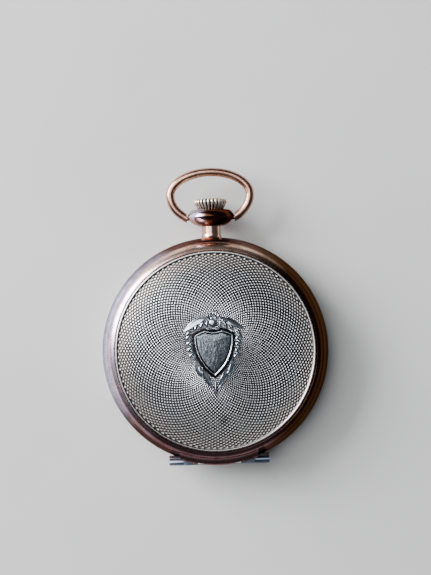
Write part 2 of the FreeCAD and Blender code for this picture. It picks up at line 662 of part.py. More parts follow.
def bridge_blank(x, y, low, high):
    """Part of the bridges' disc inside a rectangle, clear of the balance."""
    blank = disc(number("bridge_radius"), low, high)
    window = Part.makeBox(x[1] - x[0], y[1] - y[0], high - low, Vector(x[0], y[0], low))
    well = disc(number("balance_clear"), low, high, *spot("balance"))
    return blank.common(window).cut(well)


def barrel_bridge():
    low, top = number("bridge_low"), number("bridge_top")
    bridge = bridge_blank((-6.2, 21), (2.3, 21), low, top)
    crown_x, crown_y = spot("crown_wheel")
    groove = ring(4.1, 2.6, top - 0.6, top, crown_x, crown_y)
    slot = Part.makeBox(4.0, 2.1, 1.2, Vector(-2.0, 14.85, low - 0.1))
    holes = [groove, slot, disc(1.05, low, top, *spot("barrel")),
             disc(0.4, low, top, crown_x, crown_y), disc(0.4, low, top, *spot("click"))]
    holes += bridge_screw_shapes() + case_screw_shapes(0.1, top)
    shaped("barrel_bridge", bridge.cut(holes))


def train_bridge():
    low, top = number("bridge_low"), number("bridge_top")
    bridge = bridge_blank((-2.2, 21), (-21, 2.1), low, top)
    holes = [disc(number("jewel_radius"), low, top, *at)
             for at in (CENTRE, spot("third"), spot("fourth"))]
    shaped("train_bridge", bridge.cut(holes + bridge_screw_shapes()
                                      + case_screw_shapes(0.1, top)))


def escape_cock():
    low, top = number("bridge_low"), number("bridge_top")
    bridge = bridge_blank((-13, -2.4), (-21, -8.6), low, top)
    hole = disc(number("jewel_radius"), low, top, *spot("escape"))
    shaped("escape_cock", bridge.cut([hole] + bridge_screw_shapes()))


def balance_cock():
    """Foot on the plate's wall and an arm out over the balance."""
    low, top = number("cock_low"), number("cock_top")
    foot = bridge_blank((-21, -6.4), (6.4, 21), number("bridge_low"), low)
    x, y = spot("balance")
    arm = bar((x, y), (x - 0.6, 12.0), 4.2, low, top)
    arm = arm.common(disc(number("cock_reach"), low, top))
    cock = foot.fuse(arm).removeSplitter()
    shaped("balance_cock", cock.cut([disc(number("jewel_radius"), low, top, x, y)]
                                    + bridge_screw_shapes()))


def pallet_bar_ends():
    """Ends of the pallet cock, square to the line from pallet to balance."""
    x, y = spot("pallet")
    across = direction(spot("pallet"), spot("balance")) - 90
    return around(x, y, 4.0, across), around(x, y, -4.0, across)


def pallet_screw_shapes():
    return [disc(0.25, 4.95, 7.7, *at) for at in pallet_bar_ends()]


def pallet_cock():
    start, end = pallet_bar_ends()
    cock = bar(start, end, 1.3, 7.35, 7.7)
    posts = [disc(0.65, number("plate_top"), 7.35, *at) for at in (start, end)]
    hole = disc(number("pivot_radius") + number("pivot_play"), 7.3, 7.8, *spot("pallet"))
    shaped("pallet_cock", cock.fuse(posts).removeSplitter().cut([hole]
                                                               + pallet_screw_shapes()))


def jewel(x, y, low, high, hole=0.23):
    return ring(number("jewel_radius"), hole, low, high, x, y)


def jewels_and_screws():
    plate_top, bridge_top = number("plate_top"), number("bridge_top")
    low = [jewel(*spot(name), plate_top - 0.6, plate_top)
           for name in ("third", "escape", "pallet", "balance")]
    low.append(jewel(*spot("fourth"), plate_top - 0.6, plate_top, 0.3))
    high = [jewel(*at, bridge_top - 0.5, bridge_top)
            for at in (CENTRE, spot("third"), spot("fourth"), spot("escape"))]
    high.append(jewel(*spot("balance"), number("cock_low"), number("cock_top")))
    high.append(disc(0.65, number("cock_top"), 9.9, *spot("balance")))
    shaped("plate_jewels", Part.makeCompound(low))
    shaped("bridge_jewels", Part.makeCompound(high))
    shaped("bridge_screws", Part.makeCompound(
        bridge_screw_shapes() + pallet_screw_shapes() + [click_screw_shape()]))
    shaped("case_screws", Part.makeCompound(case_screw_shapes()))


# ---------------------------------------------------------------- movement: winding

def barrel():
    at = spot("barrel")
    low, teeth_top = number("barrel_low"), number("barrel_teeth_top")
    wall_top = number("barrel_wall_top")
    drum = gear(TEETH["barrel"], BARREL_MODULE, low, teeth_top, *at, direction(at, CENTRE))
    drum = drum.fuse(disc(number("barrel_radius"), low, wall_top, *at))
    hollow = disc(number("barrel_bore"), number("barrel_floor"), wall_top, *at)
    drum = drum.cut([hollow, disc(number("barrel_hole"), low, wall_top, *at)])
    shaped("barrel_drum", drum)
    shaped("barrel_lid", ring(number("barrel_radius"), number("barrel_hole"), wall_top,
                              number("barrel_top"), *at))
    shaped("mainspring", spiral_band(*at, 2.4, 6.5, 9, 0.12, 6.75, 7.6))
    shaped("barrel_arbor", disc(number("arbor_top_radius"), 6.3, number("top_wheel"), *at).fuse(
        [disc(number("arbor_low_radius"), 4.95, 6.3, *at),
         disc(number("arbor_hub"), 6.7, 7.65, *at)]).removeSplitter())


def winding_wheels():
    low, top = number("bridge_top") + number("wheel_gap"), number("top_wheel")
    at, crown_at = spot("barrel"), spot("crown_wheel")
    towards = direction(at, crown_at)
    ratchet = gear(TEETH["ratchet"], WINDING_MODULE, low, top, *at, towards)
    shaped("ratchet_wheel", ratchet.cut(disc(number("arbor_top_radius"), low, top, *at)))
    shaped("ratchet_screw", disc(1.5, top, 9.75, *at))
    count = TEETH["crown_wheel"]
    wheel = gear(count, WINDING_MODULE, low, top, *crown_at, facing_gap(towards + 180, count))
    teeth = []
    for tooth in range(count):
        block = Part.makeBox(0.9, 0.28, low - 8.64, Vector(2.95, -0.14, 8.64))
        block.rotate(Vector(), Vector(0, 0, 1), 90 + 360.0 * tooth / count)
        block.translate(Vector(crown_at[0], crown_at[1], 0))
        teeth.append(block)
    wheel = wheel.fuse(teeth).cut(disc(1.25, low, top, *crown_at))
    shaped("crown_wheel", wheel)
    core = disc(1.2, number("bridge_top"), 9.64, *crown_at).fuse(
        [disc(1.9, 9.64, 9.85, *crown_at), disc(0.4, number("bridge_low"), 9.3, *crown_at)])
    shaped("crown_wheel_core", core.removeSplitter())


def click_screw_shape():
    at = spot("click")
    screw = disc(0.4, number("bridge_low"), 9.61, *at).fuse(disc(0.75, 9.61, 9.65, *at))
    return screw.removeSplitter()


def click_parts():
    low, top = number("bridge_top") + number("wheel_gap"), number("top_wheel")
    at = spot("click")
    tip = around(*spot("barrel"), 8.65, 45)
    click = bar(at, tip, 0.7, low, top).fuse(disc(1.0, low, top, *at)).removeSplitter()
    shaped("click", click.cut(disc(0.44, low, top, *at)))
    spring = ring(19.15, 18.9, number("bridge_top"), 9.5)
    wedge = Part.Face(Part.makePolygon(
        [Vector(0, 0, 0), Vector(*around(0, 0, 30, 20), 0), Vector(*around(0, 0, 30, 40), 0),
         Vector(0, 0, 0)])).extrude(Vector(0, 0, 20))
    foot = disc(0.7, number("bridge_top"), 9.5, *around(0, 0, 18.9, 20))
    shaped("click_spring", spring.common(wedge).fuse(foot).removeSplitter())


def along_stem(shape):
    """Stand a shape made about Z at the origin along the stem, its Z towards the crown."""
    shape.rotate(Vector(), Vector(1, 0, 0), -90)
    shape.translate(Vector(0, 0, number("stem_z")))
    return shape


def keyless_work():
    bore = number("stem_radius") + number("stem_play")
    count = TEETH["winding_pinion"]
    pinion = gear(count, WINDING_MODULE, 15.15, 16.6, 0, 0, facing_gap(-90, count))
    pinion = pinion.cut(disc(bore, 15, 17))
    shaped("winding_pinion", along_stem(pinion))
    clutch = disc(1.6, 12.4, 15.0).cut([ring(1.7, 1.2, 13.4, 14.1), disc(bore, 12, 16)])
    shaped("sliding_clutch", along_stem(clutch))
    low, high = number("lever_low"), number("lever_high")
    lever_at, yoke_at = spot("lever"), spot("yoke")
    lever = bar(lever_at, (0, lever_at[1]), 1.1, low, high)
    lever = lever.fuse(disc(0.22, high, 6.02, 0, lever_at[1]))
    shaped("setting_lever", lever.cut(disc(number("post_bore"), low, high, *lever_at)))
    yoke = bar(yoke_at, (0, yoke_at[1]), 0.8, low, high)
    yoke = yoke.fuse(disc(0.22, high, 5.2, 0, yoke_at[1]))
    shaped("yoke", yoke.cut(disc(number("post_bore"), low, high, *yoke_at)))


# ---------------------------------------------------------------- movement: going train

def arbor(at, low_pivot, low_shoulder, high_shoulder, high_pivot):
    """Arbor with a thin pivot at each end."""
    return disc(number("arbor_radius"), low_shoulder, high_shoulder, *at).fuse(
        [disc(number("pivot_radius"), low_pivot, low_shoulder, *at),
         disc(number("pivot_radius"), high_shoulder, high_pivot, *at)])


def wheel_blank(teeth, module, low, high, at, first_tooth, hub):
    rim = teeth * module / 2 - 0.75
    blank = gear(teeth, module, low, high, *at, first_tooth)
    return blank.cut(crossings(hub, rim, 5, 0.55, low, high, *at))


def wheel_with_pinion(name, at, wheel, pinion, shafts):
    """Wheel, pinion and arbor in one piece, running in jewels at both ends."""
    shoulders = number("plate_top") + 0.05, number("bridge_low") - 0.05
    staff = arbor(at, number("low_pivot"), *shoulders, number("bridge_top") - 0.1)
    shaped(name, wheel.fuse([pinion, staff] + shafts))


def centre_wheel(third):
    low = number("centre_wheel_low")
    high = low + number("train_wheel_thick")
    shoulder, count = number("bridge_low") - 0.05, TEETH["centre_pinion"]
    wheel = wheel_blank(TEETH["centre"], CENTRE_MODULE, low, high, CENTRE,
                        direction(CENTRE, third), 1.6)
    pinion = gear(count, BARREL_MODULE, high, number("centre_pinion_high"), *CENTRE,
                  facing_gap(direction(CENTRE, spot("barrel")), count))
    shaft = [disc(0.6, 4.95, 6.3, *CENTRE), disc(0.42, 1.95, 4.95, *CENTRE),
             disc(0.5, 6.3, shoulder, *CENTRE),
             disc(number("pivot_radius"), shoulder, number("bridge_top") - 0.1, *CENTRE)]
    shaped("centre_wheel", wheel.fuse([pinion] + shaft))


def escape_wheel(at, fourth):
    """Wheel of fifteen raked club teeth."""
    low = number("escape_wheel_low")
    high, count = low + number("train_wheel_thick"), TEETH["escape_pinion"]
    outline = ((2.45, 0.0), (3.2, 0.42), (3.2, 0.52), (2.45, 0.6))
    wheel = toothed_face(outline, TEETH["escape"], direction(at, spot("pallet")) + 6)
    wheel = wheel.extrude(Vector(0, 0, high - low))
    wheel.translate(Vector(at[0], at[1], low))
    wheel = wheel.cut(crossings(0.8, 2.05, 4, 0.45, low, high, *at))
    pinion = gear(count, FOURTH_MODULE, number("escape_pinion_low"),
                  number("escape_pinion_high"), *at, facing_gap(direction(at, fourth), count))
    wheel_with_pinion("escape_wheel", at, wheel, pinion, [])


def train():
    third, fourth, escape = (spot(name) for name in BRIDGE_ARBORS)
    thick, low_shoulder = number("train_wheel_thick"), number("plate_top") + 0.05
    centre_wheel(third)

    low, count = number("third_wheel_low"), TEETH["third_pinion"]
    wheel = wheel_blank(TEETH["third"], THIRD_MODULE, low, low + thick, third,
                        direction(third, fourth), 1.2)
    pinion = gear(count, CENTRE_MODULE, low_shoulder, number("third_pinion_high"), *third,
                  facing_gap(direction(third, CENTRE), count))
    wheel_with_pinion("third_wheel", third, wheel, pinion, [])

    low, count = number("fourth_wheel_low"), TEETH["fourth_pinion"]
    wheel = wheel_blank(TEETH["fourth"], FOURTH_MODULE, low, low + thick, fourth,
                        direction(fourth, escape), 1.2)
    pinion = gear(count, THIRD_MODULE, number("fourth_pinion_low"),
                  number("fourth_pinion_high"), *fourth,
                  facing_gap(direction(fourth, third), count))
    seconds_pivot = disc(0.26, 2.9, low_shoulder, *fourth)
    wheel_with_pinion("fourth_wheel", fourth, wheel, pinion, [seconds_pivot])
    escape_wheel(escape, fourth)


def lever_and_stones():
    pallet, escape, balance = spot("pallet"), spot("escape"), spot("balance")
    low, high, reach = number("fork_low"), number("fork_high"), number("stone_reach")
    ahead, line = direction(pallet, balance), direction(escape, pallet)
    tip = around(*pallet, 4.4, ahead)
    horns = bar(around(*tip, 0.45, ahead + 90), around(*tip, -0.45, ahead + 90), 0.4, low, high)
    arms, stones = [horns], []
    for side in (-1, 1):
        angle = line + side * reach
        inner = around(*escape, 3.47, angle)
        arms.append(bar(pallet, around(*escape, 3.95, angle), number("fork_width"), low, high))
        stone = Part.makeBox(0.55, 0.26, 0.3, Vector(0, -0.13, low - 0.05))
        stone.rotate(Vector(), Vector(0, 0, 1), angle)
        stone.translate(Vector(inner[0], inner[1], 0))
        stones.append(stone)
    staff = [disc(0.3, 5.85, 7.3, *pallet), disc(0.2, 5.3, 5.85, *pallet),
             disc(0.2, 7.3, 7.65, *pallet)]
    fork = bar(pallet, tip, 0.45, low, high)
    shaped("pallet_fork", fork.fuse(arms + staff).cut(stones))
    shaped("pallet_stones", Part.makeCompound(stones))


def balance():
    at = spot("balance")
    low, high = number("rim_low"), number("rim_high")
    rim = ring(number("balance_rim"), number("balance_rim_inner"), low, high, *at)
    reach = number("balance_rim_inner") + 0.3
    spoke = bar(around(*at, reach, 20), around(*at, reach, 200), 1.0, low + 0.2, low + 0.4)
    wheel = rim.fuse([spoke, disc(1.3, low + 0.1, low + 0.5, *at)])
    staff = disc(0.35, 5.85, 9.0, *at).fuse(disc(0.8, 8.72, 8.98, *at))
    shaped("balance_wheel", wheel.cut(disc(0.35, low, high, *at)).removeSplitter())
    screws = []
    for index in range(14):
        x, y = around(*at, number("balance_rim"), 360.0 * index / 14 + 5)
        outward = Vector(x - at[0], y - at[1], 0)
        screws.append(Part.makeCylinder(0.28, 0.55, Vector(x, y, (low + high) / 2), outward))
    shaped("timing_screws", Part.makeCompound(screws).cut(rim))
    shaped("balance_staff", staff.fuse(
        [disc(0.2, 5.3, 5.85, *at), disc(0.2, 9.0, 9.55, *at)]).removeSplitter())
    roller_low, roller_high = number("roller_low"), number("roller_high")
    roller = ring(1.4, number("arbor_radius"), roller_low, roller_high, *at)
    jewel_at = around(*at, 1.05, direction(at, spot("pallet")))
    shaped("roller", roller.cut(disc(0.16, roller_low - 0.2, roller_high, *jewel_at)))
    shaped("impulse_jewel", disc(0.16, roller_low - 0.18, roller_high, *jewel_at))
    shaped("hairspring", spiral_band(*at, 1.0, 4.4, 11, 0.07, number("hairspring_low"),
                                     number("hairspring_high")))
    shaped("hairspring_stud", disc(0.3, 8.7, number("cock_low"), at[0], at[1] + 4.85))


def regulator():
    """Index that turns round the balance's cap jewel."""
    x, y = spot("balance")
    low, high = number("regulator_low"), number("regulator_high")
    pointer = bar((x, y + 1.2), (x, y + 5.5), 0.45, low, high)
    index = ring(1.35, 0.72, low, high, x, y).fuse(pointer)
    shaped("regulator", index.cut(disc(0.72, low, high, x, y)).removeSplitter())


# ---------------------------------------------------------------- dial side

def motion_work():
    minute_at, setting_at = spot("minute_wheel"), spot("setting_wheel")
    low, high, bore = number("motion_low"), number("motion_high"), number("post_bore")
    cannon = gear(TEETH["cannon"], MINUTE_MODULE, 4.4, 4.85, *CENTRE,
                  facing_gap(90, TEETH["cannon"]))
    cannon = cannon.fuse(disc(0.7, 2.0, 4.4, *CENTRE)).cut(disc(0.44, 2.0, 4.9, *CENTRE))
    shaped("cannon_pinion", cannon.removeSplitter())
    wheel = gear(TEETH["minute"], MINUTE_MODULE, high, high + 0.2, *minute_at, 270)
    pinion = gear(TEETH["minute_pinion"], HOUR_MODULE, low, high, *minute_at,
                  facing_gap(270, TEETH["minute_pinion"]))
    shaped("minute_wheel", wheel.fuse(pinion).cut(disc(bore, 4.0, 4.8, *minute_at)))
    hour = gear(TEETH["hour"], HOUR_MODULE, low, low + 0.2, *CENTRE, 90)
    hour = hour.fuse(disc(1.1, 2.5, low, *CENTRE))
    shaped("hour_wheel", hour.cut(disc(0.74, 2.4, 4.4, *CENTRE)))
    setting = gear(TEETH["setting"], MINUTE_MODULE, high, high + 0.25, *setting_at,
                   facing_gap(270, TEETH["setting"]))
    shaped("setting_wheel", setting.cut(disc(bore, 4.4, 4.8, *setting_at)))


def hand(hub, hub_radius, bore, length, tail, width, low, high, angle):
    """Spade hand: tapered blade, widened near its end, with a counterpoise."""
    blade = [Vector(-tail, -width * 0.3, low), Vector(-tail, width * 0.3, low),
             Vector(length * 0.66, width * 0.5, low), Vector(length * 0.76, width * 1.3, low),
             Vector(length, 0.06, low), Vector(length, -0.06, low),
             Vector(length * 0.76, -width * 1.3, low), Vector(length * 0.66, -width * 0.5, low)]
    face = Part.Face(Part.makePolygon(blade + blade[:1]))
    shape = face.extrude(Vector(0, 0, high - low))
    shape.rotate(Vector(), Vector(0, 0, 1), angle)
    shape.translate(Vector(hub[0], hub[1], 0))
    shape = shape.fuse(disc(hub_radius, low, high, *hub)).cut(disc(bore, low, high, *hub))
    return shape.removeSplitter()


def dial_and_hands():
    face, back = number("dial_face"), number("dial_back")
    seconds_at = spot("fourth")
    dial = disc(number("dial_radius"), face, back)
    dial = dial.cut([disc(1.3, face, back, *CENTRE), disc(4.2, face, back, *seconds_at)])
    shaped("dial", dial.fuse(dial_foot_shapes()))
    shaped("seconds_dial", ring(4.2, 0.4, face + 0.2, back, *seconds_at))
    shaped("minute_hand", hand(CENTRE, 1.1, 0.7, 15.5, 3.0, 0.75, 2.05, 2.2, 150))
    shaped("hour_hand", hand(CENTRE, 1.6, 1.1, 10.5, 2.6, 1.1, 2.55, 2.7, 35))
    shaped("seconds_hand", hand(seconds_at, 0.5, 0.26, 3.6, 1.2, 0.2, 2.95, 3.05, -70))


def build():
    middle = case_middle()
    bezel_and_crystal()
    doc.recompute()
    pendant(middle)
    bow()
    crown()
    winding_stem()
    cover = back_cover()
    back_cover_rim()
    cuvette()
    hinge_pin()
    doc.recompute()
    shield_and_garland(cover)
    for make in (main_plate, barrel_bridge, train_bridge, escape_cock, balance_cock,
                 pallet_cock, jewels_and_screws, barrel, winding_wheels, click_parts,
                 keyless_work, train, lever_and_stones, balance, regulator, motion_work,
                 dial_and_hands):
        make()
    doc.recompute()


def check_and_write():
    """Stop on any failed object or shape, then write one STEP file for each sub-part."""
    failed = [item.Name for item in doc.Objects
              if "Invalid" in item.State or "Error" in item.State]
    if failed:
        raise RuntimeError("failed objects: %s" % failed)
    for part in NODES:
        if part.Shape.isNull() or not part.Shape.isValid():
            raise RuntimeError("bad shape: %s" % part.Label)
    os.makedirs("parts", exist_ok=True)
    for part in NODES:
        part.Shape.exportStep(os.path.join("parts", part.Label + ".step"))
        print("%-20s %2d solids %10.4f mm3" % (part.Label, len(part.Shape.Solids),
                                              part.Shape.Volume))


build()
check_and_write()
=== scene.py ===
import math

import bpy
import numpy as np
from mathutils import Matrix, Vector


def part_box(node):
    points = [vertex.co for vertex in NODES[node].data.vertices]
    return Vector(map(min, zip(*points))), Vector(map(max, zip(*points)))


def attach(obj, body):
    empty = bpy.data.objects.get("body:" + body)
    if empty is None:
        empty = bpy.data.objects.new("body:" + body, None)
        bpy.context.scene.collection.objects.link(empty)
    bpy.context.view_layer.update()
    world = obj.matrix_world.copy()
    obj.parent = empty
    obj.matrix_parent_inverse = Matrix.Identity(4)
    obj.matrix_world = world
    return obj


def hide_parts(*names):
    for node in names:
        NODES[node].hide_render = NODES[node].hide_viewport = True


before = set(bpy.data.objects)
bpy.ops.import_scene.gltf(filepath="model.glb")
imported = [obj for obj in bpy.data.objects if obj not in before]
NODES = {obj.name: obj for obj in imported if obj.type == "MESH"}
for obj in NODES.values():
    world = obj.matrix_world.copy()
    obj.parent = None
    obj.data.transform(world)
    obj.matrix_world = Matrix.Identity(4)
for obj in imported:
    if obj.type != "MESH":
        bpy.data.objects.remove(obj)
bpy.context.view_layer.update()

MM = 0.001


# ---------------------------------------------------------------- sizes read from the frame

DISC_LOW, DISC_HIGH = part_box("back_cover")
DISC_RADIUS = DISC_HIGH.x
DOME_TOP = DISC_HIGH.z
SHIELD_LOW, SHIELD_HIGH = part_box("shield")
ORNAMENT_X = (SHIELD_LOW.x + SHIELD_HIGH.x) / 2
CROWN_LOW, CROWN_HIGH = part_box("crown")
HINGE_LOW, HINGE_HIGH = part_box("hinge_pin")
STEM_Z = sum(corner.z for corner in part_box("crown")) / 2
DIAL_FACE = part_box("dial")[0].z
SECONDS_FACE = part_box("seconds_dial")[0].z
SECONDS_AT = Vector((0.0, sum(corner.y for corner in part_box("seconds_dial")) / 2, 0.0))

CASE_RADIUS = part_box("case_middle")[1].x
PENDANT_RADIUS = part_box("pendant")[1].x
NECK_SHARE = (CASE_RADIUS + 3.0 * MM) / CASE_RADIUS
HINGE_EDGE_Y = HINGE_HIGH.y + 0.5 * MM
HINGE_BED = HINGE_LOW.z - 2.0 * MM
HOOD_LOW = HINGE_HIGH.z + 0.47 * MM
BEAD_RADIUS = DISC_RADIUS - 0.5 * MM
DOME_EDGE = DISC_RADIUS - 0.6 * MM
DOME_CURVE = 175.1 * MM
# Shares of the case's radius, measured towards the pendant, between which the gold's tone at
# the pendant and at the hinge comes in. These tones are partly tarnish and partly painted
# reflection and shade.
TOP_FADE = (0.55, 0.95)
HINGE_SIDE_FADE = (-0.25, -0.68)
# Length from the hinge's left end over which its painted highlight fades.
HINGE_HIGHLIGHT_FADE = 4 * MM
# Distance from a patch's centre, in shares of its radius and noise included, where it ends.
PATCH_EDGE = 1.45
STRIPE = 0.75 * MM


# ---------------------------------------------------------------- node materials

class Shade:
    """A Principled material built up one node at a time, in the object's own coordinates."""

    def __init__(self, name, **sockets):
        self.material = bpy.data.materials.new(name)
        self.material.use_nodes = True
        self.tree = self.material.node_tree
        self.shader = self.tree.nodes["Principled BSDF"]
        self.place = self.node("ShaderNodeTexCoord").outputs["Object"]
        for socket, value in sockets.items():
            self.shader.inputs[socket.replace("_", " ")].default_value = value

    def node(self, kind, inputs=None, **settings):
        made = self.tree.nodes.new(kind)
        for key, value in settings.items():
            setattr(made, key, value)
        for key, value in (inputs or {}).items():
            self.feed(made.inputs[key], value)
        return made

    def feed(self, socket, value):
        if isinstance(value, bpy.types.NodeSocket):
            self.tree.links.new(value, socket)
        else:
            socket.default_value = value

    def math(self, operation, *values):
        made = self.node("ShaderNodeMath", operation=operation)
        for index, value in enumerate(values):
            self.feed(made.inputs[index], value)
        return made.outputs[0]

    def axis(self, name):
        return self.node("ShaderNodeSeparateXYZ", {0: self.place}).outputs[name]

    def noise(self, size, detail=3.0, roughness=0.55, stretch=(1, 1, 1), distortion=0.0):
        """Noise whose features are about size millimetres across."""
        scaled = self.node("ShaderNodeVectorMath", {0: self.place, 1: stretch},
                           operation="MULTIPLY").outputs[0]
        made = self.node("ShaderNodeTexNoise", {
            "Vector": scaled, "Scale": 1 / (size * MM), "Detail": detail,
            "Roughness": roughness, "Distortion": distortion})
        return made.outputs["Fac"]

    def ramp(self, fac, *stops):
        made = self.node("ShaderNodeValToRGB", {"Fac": fac})
        ramp = made.color_ramp
        while len(ramp.elements) < len(stops):
            ramp.elements.new(0.5)
        for element, (position, colour) in zip(ramp.elements, stops):
            element.position = position
            grey = isinstance(colour, (int, float))
            element.color = (colour,) * 3 + (1,) if grey else tuple(colour) + (1,)
        return made.outputs["Color"]

    def mix(self, fac, first, second):
        made = self.node("ShaderNodeMix", data_type="RGBA")
        self.feed(made.inputs["Factor"], fac)
        for key, value in ((6, first), (7, second)):
            value = tuple(value) + (1,) if isinstance(value, tuple) else value
            self.feed(made.inputs[key], value)
        return made.outputs[2]

    def patch(self, centre, radius, soft):
        """Soft-edged round patch, 1 at centre and 0 outside, broken up by noise."""
        gap = self.node("ShaderNodeVectorMath", {0: self.place, 1: tuple(centre)},
                        operation="DISTANCE").outputs["Value"]
        share = self.math("DIVIDE", gap, radius)
        broken = self.math("MULTIPLY_ADD", self.noise(2.2, 4.0), 0.9, share)
        return self.node("ShaderNodeMapRange", {
            "Value": broken, "From Min": PATCH_EDGE, "From Max": PATCH_EDGE - soft,
            "To Min": 0.0, "To Max": 1.0}).outputs[0]

    def span(self, value, low, high):
        """0 where value is at low, 1 where it is at high."""
        return self.node("ShaderNodeMapRange", {
            "Value": value, "From Min": low, "From Max": high}).outputs[0]

    def hinge_mask(self):
        """1 on the knuckles along the hinge pin and on the arms' ends outside the case's
        circle, 0 on the rest of the case."""
        outside = self.span(self.axis("Y"), HINGE_EDGE_Y, HINGE_EDGE_Y - 0.08 * MM)
        beyond = self.span(self.radius(), CASE_RADIUS + 0.04 * MM, CASE_RADIUS + 0.1 * MM)
        under = self.span(self.axis("Z"), HOOD_LOW, HOOD_LOW - 0.04 * MM)
        under = self.math("MAXIMUM", under, beyond)
        above = self.span(self.axis("Z"), HINGE_BED, HINGE_BED + 0.1 * MM)
        half = HINGE_HIGH.x + 0.2 * MM
        within = self.math("LESS_THAN", self.math("ABSOLUTE", self.axis("X")), half)
        both = self.math("MULTIPLY", outside, under)
        return self.math("MULTIPLY", self.math("MULTIPLY", both, above), within)

    def radius(self):
        """Distance from the axis through the middle of the case."""
        flat = self.node("ShaderNodeVectorMath", {0: self.place, 1: (1, 1, 0)},
                         operation="MULTIPLY").outputs["Vector"]
        return self.node("ShaderNodeVectorMath", {0: flat}, operation="LENGTH").outputs["Value"]

    def with_hinge(self, base):
        """The colour given, but blue-grey on the hinge, a painted highlight at its left end."""
        # Painted highlight: the hinge's steel is bright at its left end and darkens to the right.
        along = self.span(self.axis("X"), HINGE_LOW.x, HINGE_LOW.x + HINGE_HIGHLIGHT_FADE)
        steel = self.mix(along, (0.62, 0.72, 0.86), (0.13, 0.16, 0.22))
        return self.mix(self.hinge_mask(), base, steel)

    def bump(self, height, strength=0.3, distance=0.02):
        made = self.node("ShaderNodeBump", {
            "Height": height, "Strength": strength, "Distance": distance * MM})
        self.feed(self.shader.inputs["Normal"], made.outputs[0])

    def colour(self, value):
        self.feed(self.shader.inputs["Base Color"],
                  tuple(value) + (1,) if isinstance(value, tuple) else value)

    def roughness(self, fac, low, high):
        self.feed(self.shader.inputs["Roughness"], self.node("ShaderNodeMapRange", {
            "Value": fac, "To Min": low, "To Max": high}).outputs[0])


def toned_gold(name, left, right, ends, rough, mottling=1.0, reach=CASE_RADIUS,
               lit_to_shaded=(-0.70, 0.15)):
    """Old rose gold whose colour differs round the case, partly tarnish and partly painted light
    and shade: pale and lit on the left, dark brown and shaded on the right, and other tones
    towards the ends, partly painted reflection. The left tone gives way to the right one between
    two shares of the reach. Each end is its tone and the two shares of the case's radius
    between which it comes in."""
    shade = Shade(name, Metallic=1.0, Specular_Tint=(0.45, 0.40, 0.38, 1))
    mottle = shade.noise(3.0, 5.0, 0.6, distortion=0.5)
    fine = shade.noise(0.55, 5.0, 0.65)
    wander = shade.math("MULTIPLY_ADD", shade.noise(9.0, 2.0), 0.5, -0.25)
    across = shade.math("ADD", shade.math("DIVIDE", shade.axis("X"), reach), wander)
    along = shade.math("ADD", shade.math("DIVIDE", shade.axis("Y"), CASE_RADIUS), wander)
    tint = shade.ramp(shade.noise(4.5, 3.0, stretch=(0.6, 1, 1)), (0.38, left),
                      (0.50, (0.74, 0.64, 0.88)), (0.58, left), (0.68, (0.95, 0.60, 0.50)))
    # Painted light and shade: the pale left tone stands for lit metal, the dark right one for
    # shaded metal.
    base = shade.mix(shade.span(across, *lit_to_shaded), shade.mix(0.75, left, tint), right)
    not_right = shade.span(across, 0.62, 0.28)
    for tone, fade in ends:
        share = shade.math("MULTIPLY", shade.span(along, *fade), not_right)
        base = shade.mix(share, base, tone)
    brown = shade.mix(0.65, base, (0.05, 0.022, 0.014))
    patches = shade.math("MULTIPLY", shade.ramp(mottle, (0.46, 0.0), (0.68, 0.75)), mottling)
    base = shade.mix(patches, base, brown)
    specks = shade.math("MULTIPLY", shade.ramp(fine, (0.55, 0.0), (0.70, 0.8)), mottling)
    base = shade.mix(specks, base, brown)
    shade.colour(shade.with_hinge(base))
    shade.roughness(shade.math("ADD", shade.math("MULTIPLY", mottle, 0.6),
                               shade.math("MULTIPLY", fine, 0.4)), *rough)
    scratches = shade.noise(0.25, 6.0, 0.7, stretch=(1, 0.12, 1))
    shade.bump(shade.math("ADD", shade.math("MULTIPLY", mottle, 0.5), scratches), 0.2, 0.02)
    return shade.material


def disc_tarnish(shade, base, cloud):
    """The disc's painted shade, a grey darkening towards the hinge and in the middle round the
    ornament, then its tan edge and its one small stain, laid over its silver."""
    # Painted shade: the silver darkens towards the hinge, where less light falls.
    wander = shade.math("MULTIPLY_ADD", cloud, 14 * MM, -7 * MM)
    hingeward = shade.math("ADD", shade.axis("Y"), wander)
    hinge_side_shade = shade.math("MULTIPLY", shade.span(hingeward, -5 * MM, -17 * MM), 0.7)
    base = shade.mix(hinge_side_shade, base, (0.17, 0.165, 0.16))
    # Painted shade: the silver darkens in the middle of the disc.
    middle = shade.math("MULTIPLY", shade.span(shade.radius(), 12 * MM, 5 * MM), 0.45)
    base = shade.mix(middle, base, (0.20, 0.20, 0.215))
    tan = shade.math("MULTIPLY", shade.span(shade.radius(), 17 * MM, 21.6 * MM), 0.35)
    base = shade.mix(tan, base, (0.36, 0.28, 0.23))
    stain = shade.patch((1.3 * MM, -14.9 * MM, DOME_TOP - 0.6 * MM), 1.5 * MM, 0.7)
    return shade.mix(shade.math("MULTIPLY", stain, 0.6), base, (0.06, 0.05, 0.055))


def aged_silver(name, tops, grooves, stained_and_shaded=False, grain=0.12, cloud_size=7.0,
                dark_from=0.12, dark_at=0.42, rough=(0.3, 0.5)):
    """Tarnished silver: dark where the point attribute "cut" is high, partly tarnish in the hollows
    and partly painted shade, worn bright elsewhere.
    """
    shade = Shade(name, Metallic=1.0)
    cut = shade.node("ShaderNodeAttribute", attribute_name="cut").outputs["Fac"]
    cloud = shade.noise(cloud_size, 4.0, 0.55)
    top = shade.mix(shade.ramp(cloud, (0.35, 0.0), (0.70, 1.0)), *tops)
    low = shade.mix(shade.ramp(cloud, (0.35, 0.0), (0.70, 1.0)), *grooves)
    base = shade.mix(shade.span(cut, dark_from, dark_at), top, low)
    # The disc's stains come with its painted shade.
    if stained_and_shaded:
        base = disc_tarnish(shade, base, cloud)
    shade.colour(base)
    shade.roughness(shade.noise(1.2, 5.0), *rough)
    shade.bump(shade.noise(grain, 4.0, 0.7), 0.25, 0.012)
    return shade.material


